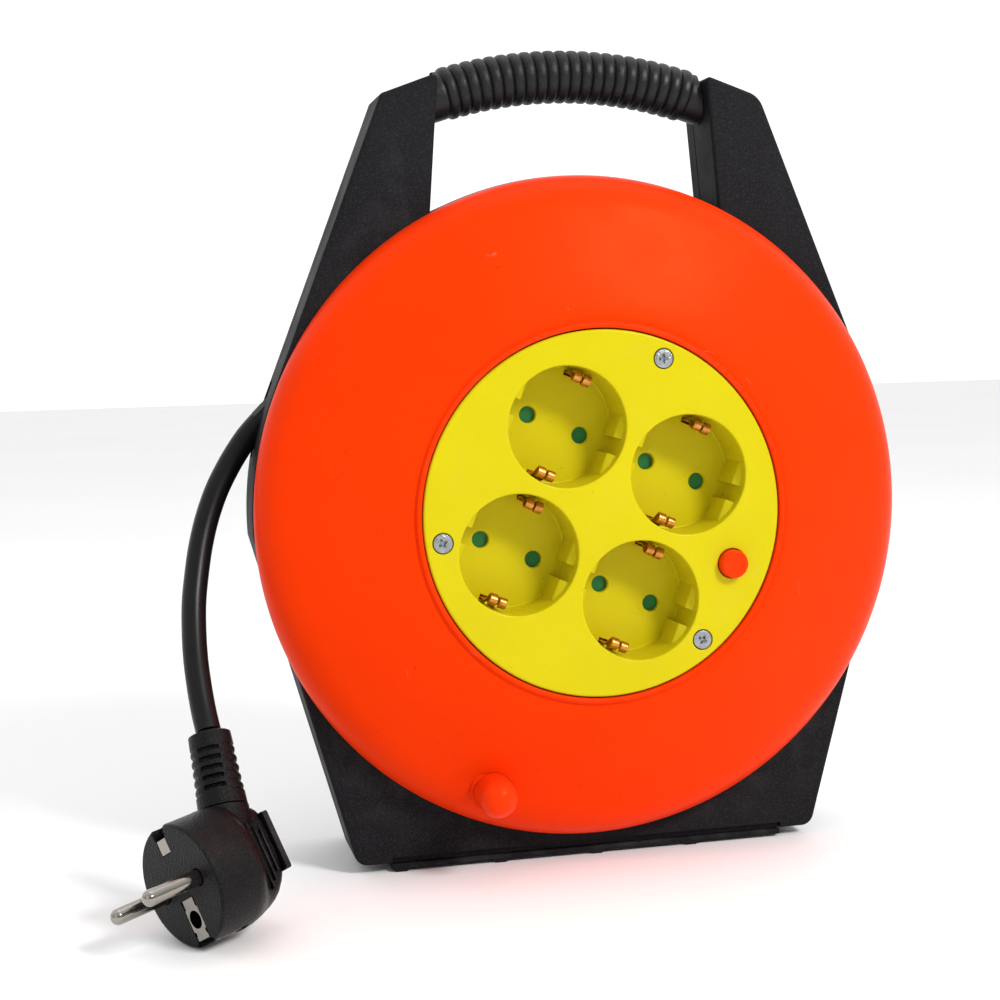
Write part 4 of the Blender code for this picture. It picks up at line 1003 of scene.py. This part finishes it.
def build_plug():
    full = PLUG_RADIUS
    stations = [
        (0.0, full - 0.9, -full + 0.9, full - 0.9, 2.0),
        (-0.25, full - 0.35, -full + 0.35, full - 0.35, 2.0),
        (-0.9, full, -full, full, 2.0),
        (-14.0, full, -full, full, 2.0),
        (-16.0, 18.1, -18.5, 18.4, 2.0),
        (-18.0, 16.4, -18.3, 18.0, 2.0),
        (-19.6, 13.8, -18.1, 17.6, 2.1),
        (-21.2, 11.0, -17.8, 17.1, 2.2),
        (-22.8, 8.9, -17.3, 16.6, 2.4),
        (-24.4, 7.6, -16.8, 16.0, 2.6),
        (-26.2, 7.0, -16.2, 15.1, 2.8),
        (-28.2, 6.8, -15.4, 13.8, 2.8),
        (-30.2, 6.7, -14.4, 11.6, 2.8),
        (-31.4, 6.4, -13.5, 9.9, 2.8),
        (-31.8, 5.9, -13.1, 9.3, 2.8),
    ]
    axis = (BOOT_TOP - BOOT_BASE).normalized()
    ridges = []
    for n in range(3):
        depth = -24.6 - 1.9 * n
        ridges.append(block(-7.6, 7.6, -9.0 + 1.5 * n, 12.0 - 2.2 * n, depth, depth + 0.5, 0.2))
    pin_holes = [pole(PIN_RADIUS + GAP, -5.0, 1.0, (side * PIN_OFFSET, 0)) for side in (-1, 1)]
    steps = [
        ("UNION", rod_along(BOOT_BASE - axis * 8, BOOT_BASE - axis * 1.3, 7.75, 56)),
        ("UNION", block(-8.5, 8.5, -10.4, 8.2, -32.4, -30.6, 0.8)),
        ("UNION", merged(ridges)),
        ("DIFFERENCE", merged(pin_holes)),
        ("DIFFERENCE", block(-3.5, 3.5, 3.8, 22.0, -1.2, 1.0)),
        ("DIFFERENCE", block(-4.6, 4.6, 16.9, 22.0, -13.0, 0.6)),
        ("DIFFERENCE", pole(3.2, -14.0, 0.0, (0, 10.0))),
        ("DIFFERENCE", block(-3.5, 3.5, 16.6, 22.0, -3.4, 1.0)),
        ("DIFFERENCE", block(-2.6, 2.6, -22.0, -10.0, -1.2, 1.0)),
        ("DIFFERENCE", block(-2.9, 2.9, -22.0, -14.9, -3.4, 1.0)),
        ("DIFFERENCE", block(-3.6, 3.6, -22.0, -16.9, -13.0, 0.6)),
    ]
    shape = skin([plug_section(*station) for station in stations])
    nodes = ["plug_body"]
    body = add_piece("plug_housing", shape, PLUG, "casing", plug_plastic, nodes, steps, 42)
    pieces = [body, build_boot()]
    tip = PIN_LENGTH - PIN_RADIUS
    round_tip = [math.pi / 2 * step / 8 for step in range(1, 9)]
    profile = [(0, -4.7), (PIN_RADIUS, -4.7), (PIN_RADIUS, tip)]
    profile += [(PIN_RADIUS * math.cos(turn), tip + PIN_RADIUS * math.sin(turn)) for turn in round_tip]
    for number, side in enumerate((-1, 1), start=1):
        turn = Matrix.Translation((side * PIN_OFFSET, 0, 0)) @ Matrix.Rotation(math.pi / 2, 4, "X")
        pin = moved(turned(profile, 48), turn)
        nodes = [f"plug_pin_{number}"]
        name = f"contact_pin_{number}"
        pieces.append(add_piece(name, pin, PLUG, "casing", nickel_plate, nodes))
    right = [(2.7, 4.0), (2.7, 6.6), (3.3, 7.0), (3.3, 13.4)]
    right += [(2.5, 13.8), (2.5, 14.8), (2.9, 15.1), (2.9, 16.4)]
    outline = [(-2.7, 4.0)] + right + [(-x, y) for x, y in right[:0:-1]]
    strip = skin([[(x, y, z) for x, y in outline] for z in (-0.9, -0.1)])
    steps = [
        ("UNION", block(-2.6, 2.6, 15.5, 16.3, -3.9, -0.3)),
        ("UNION", block(-2.5, 2.5, 15.7, 18.3, -4.1, -3.5)),
        ("UNION", block(-2.4, 2.4, 17.4, 18.2, -12.6, -3.7)),
        ("DIFFERENCE", pole(2.75, -2.0, 1.0, (0, 10.3))),
    ]
    nodes = ["plug_earth_clip_1"]
    name = "earth_plate_1"
    pieces.append(add_piece(name, strip, PLUG, "casing", nickel_plate, nodes, steps))
    strip = block(-2.3, 2.3, -14.7, -10.3, -0.9, -0.1)
    steps = [
        ("UNION", block(-2.3, 2.3, -14.7, -13.9, -3.9, -0.3)),
        ("UNION", block(-2.3, 2.3, -18.3, -14.0, -4.1, -3.5)),
        ("UNION", block(-2.3, 2.3, -18.3, -17.5, -12.6, -3.7)),
    ]
    nodes = ["plug_earth_clip_2"]
    name = "earth_plate_2"
    pieces.append(add_piece(name, strip, PLUG, "casing", nickel_plate, nodes, steps))
    return pieces


def build_boot():
    """Bend relief: a tapered sleeve with rib ends at its sides and slots across its front and back."""
    axis = (BOOT_TOP - BOOT_BASE).normalized()
    length = (BOOT_TOP - BOOT_BASE).length
    count = 48
    rings = []
    samples = 96
    for sample in range(samples + 1):
        share = sample / samples
        along = BOOT_START + (length - BOOT_START) * share
        radius = 7.6 - 1.1 * share
        if sample in (0, samples):
            radius -= 0.35
        phase = (along - BOOT_RIB_START) / BOOT_RIB_PITCH
        ribbed = 0.0 <= phase <= BOOT_RIBS
        wave = abs(math.sin(math.pi * phase)) ** 0.6
        ring = []
        for step in range(count):
            angle = 2 * math.pi * step / count
            sideways = abs(math.cos(angle)) ** 5
            r = radius * (1 - sideways * 0.17 * (1 - wave)) if ribbed else radius
            ring.append((r * math.cos(angle), along, r * math.sin(angle)))
        rings.append(ring)
    slots = []
    for rib in range(BOOT_RIBS):
        along = BOOT_RIB_START + BOOT_RIB_PITCH * (rib + 0.5)
        for side in (-1, 1):
            outline = softened(rectangle(-3.4, 3.4, along - 0.75, along + 0.75), 0.4)
            low, high = sorted((side * 5.2, side * 9.0))
            slots.append(skin([[(x, z, depth) for x, z in outline] for depth in (low, high)]))
    outwards = Vector((-0.72, 0, 0.69))
    outwards = (outwards - axis * outwards.dot(axis)).normalized()
    turn = Matrix((axis.cross(outwards), axis, outwards)).transposed()
    place = PLUG @ Matrix.Translation(BOOT_BASE) @ turn.to_4x4()
    steps = [("DIFFERENCE", merged(slots))]
    shape = skin(rings)
    nodes = ["plug_boot"]
    return add_piece("bend_relief", shape, place, "casing", plug_plastic, nodes, steps, 45)


# ---------------------------------------------------------------- CAD nodes that stay


def repaint(nodes, material):
    for name in nodes:
        piece = frame["nodes"][name]
        piece.data.materials.clear()
        piece.data.materials.append(material)


def paint_inner_parts():
    repaint(["handle_core", "drum_spool"], inner_plastic)
    repaint(["contact_carrier", "cable_clamp", "thermal_cutout"], carrier_plastic)
    repaint([f"shutter_{n}" for n in range(1, 5)], shutter_plastic)
    repaint(["inner_lead", "outlet_lead"], sheath_plastic)
    repaint(["neutral_busbar", "live_busbar"], contact_brass)
    steel = ["axle", "axle_washer", "axle_screw", "knob_pin", "reset_spring"]
    steel += [f"{holder}_screw_{n}" for holder in ("clamp", "carrier") for n in (1, 2)]
    repaint(steel, zinc_steel)


# ---------------------------------------------------------------- stage


def build_stage():
    data = bpy.data.meshes.new("floor")
    shape = bmesh.new()
    bmesh.ops.create_grid(shape, x_segments=1, y_segments=1, size=6.0)
    shape.to_mesh(data)
    shape.free()
    floor = bpy.data.objects.new("floor", data)
    material, tree, shader, place = start_material("floor_paper", (0.91, 0.91, 0.91), 0.7)
    cloud = ramp(tree, noise(tree, place, 400, 2), 0.3, 0.7)
    tree.links.new(mix_colour(tree, cloud, (0.9, 0.9, 0.9), (0.92, 0.92, 0.92)), shader.inputs["Base Color"])
    data.materials.append(material)
    bpy.context.scene.collection.objects.link(floor)


def add_light(name, place, target, size, power):
    data = bpy.data.lights.new(name, "AREA")
    data.size = size
    data.energy = power
    light = bpy.data.objects.new(name, data)
    light.location = place
    light.rotation_euler = (Vector(target) - Vector(place)).to_track_quat("-Z", "Y").to_euler()
    bpy.context.scene.collection.objects.link(light)


def build_lights():
    middle = (0.0, 0.0, 0.12)
    add_light("key", (0.6, -1.0, 0.95), middle, 0.3, 15)
    add_light("fill", (-0.9, -1.0, 0.5), middle, 0.9, 1.5)
    add_light("top", (0.1, 0.2, 1.5), middle, 0.9, 2)
    world = bpy.data.worlds.new("studio")
    world.use_nodes = True
    tree = world.node_tree
    background = tree.nodes["Background"]
    background.inputs["Color"].default_value = (1, 1, 1, 1)
    parts = tree.nodes.new("ShaderNodeSeparateXYZ")
    tree.links.new(tree.nodes.new("ShaderNodeTexCoord").outputs["Generated"], parts.inputs["Vector"])
    height = add_math(tree, parts.outputs["Z"], 0.9, "MULTIPLY")
    towards_back = add_math(tree, parts.outputs["Y"], height)
    tree.links.new(ramp(tree, towards_back, -0.3, 0.8, 0.42, 1.15), background.inputs["Strength"])
    bpy.context.scene.world = world
    bpy.context.scene.view_settings.view_transform = "Standard"


# ---------------------------------------------------------------- whole reel

build_casing()
build_foot()
build_grip()
build_casing_screws()
build_disc()
build_insert()
build_earth_clips()
build_insert_screws()
build_button()
build_knob()
build_winding()
plug_pieces = build_plug()
paint_inner_parts()
build_stage()
build_lights()
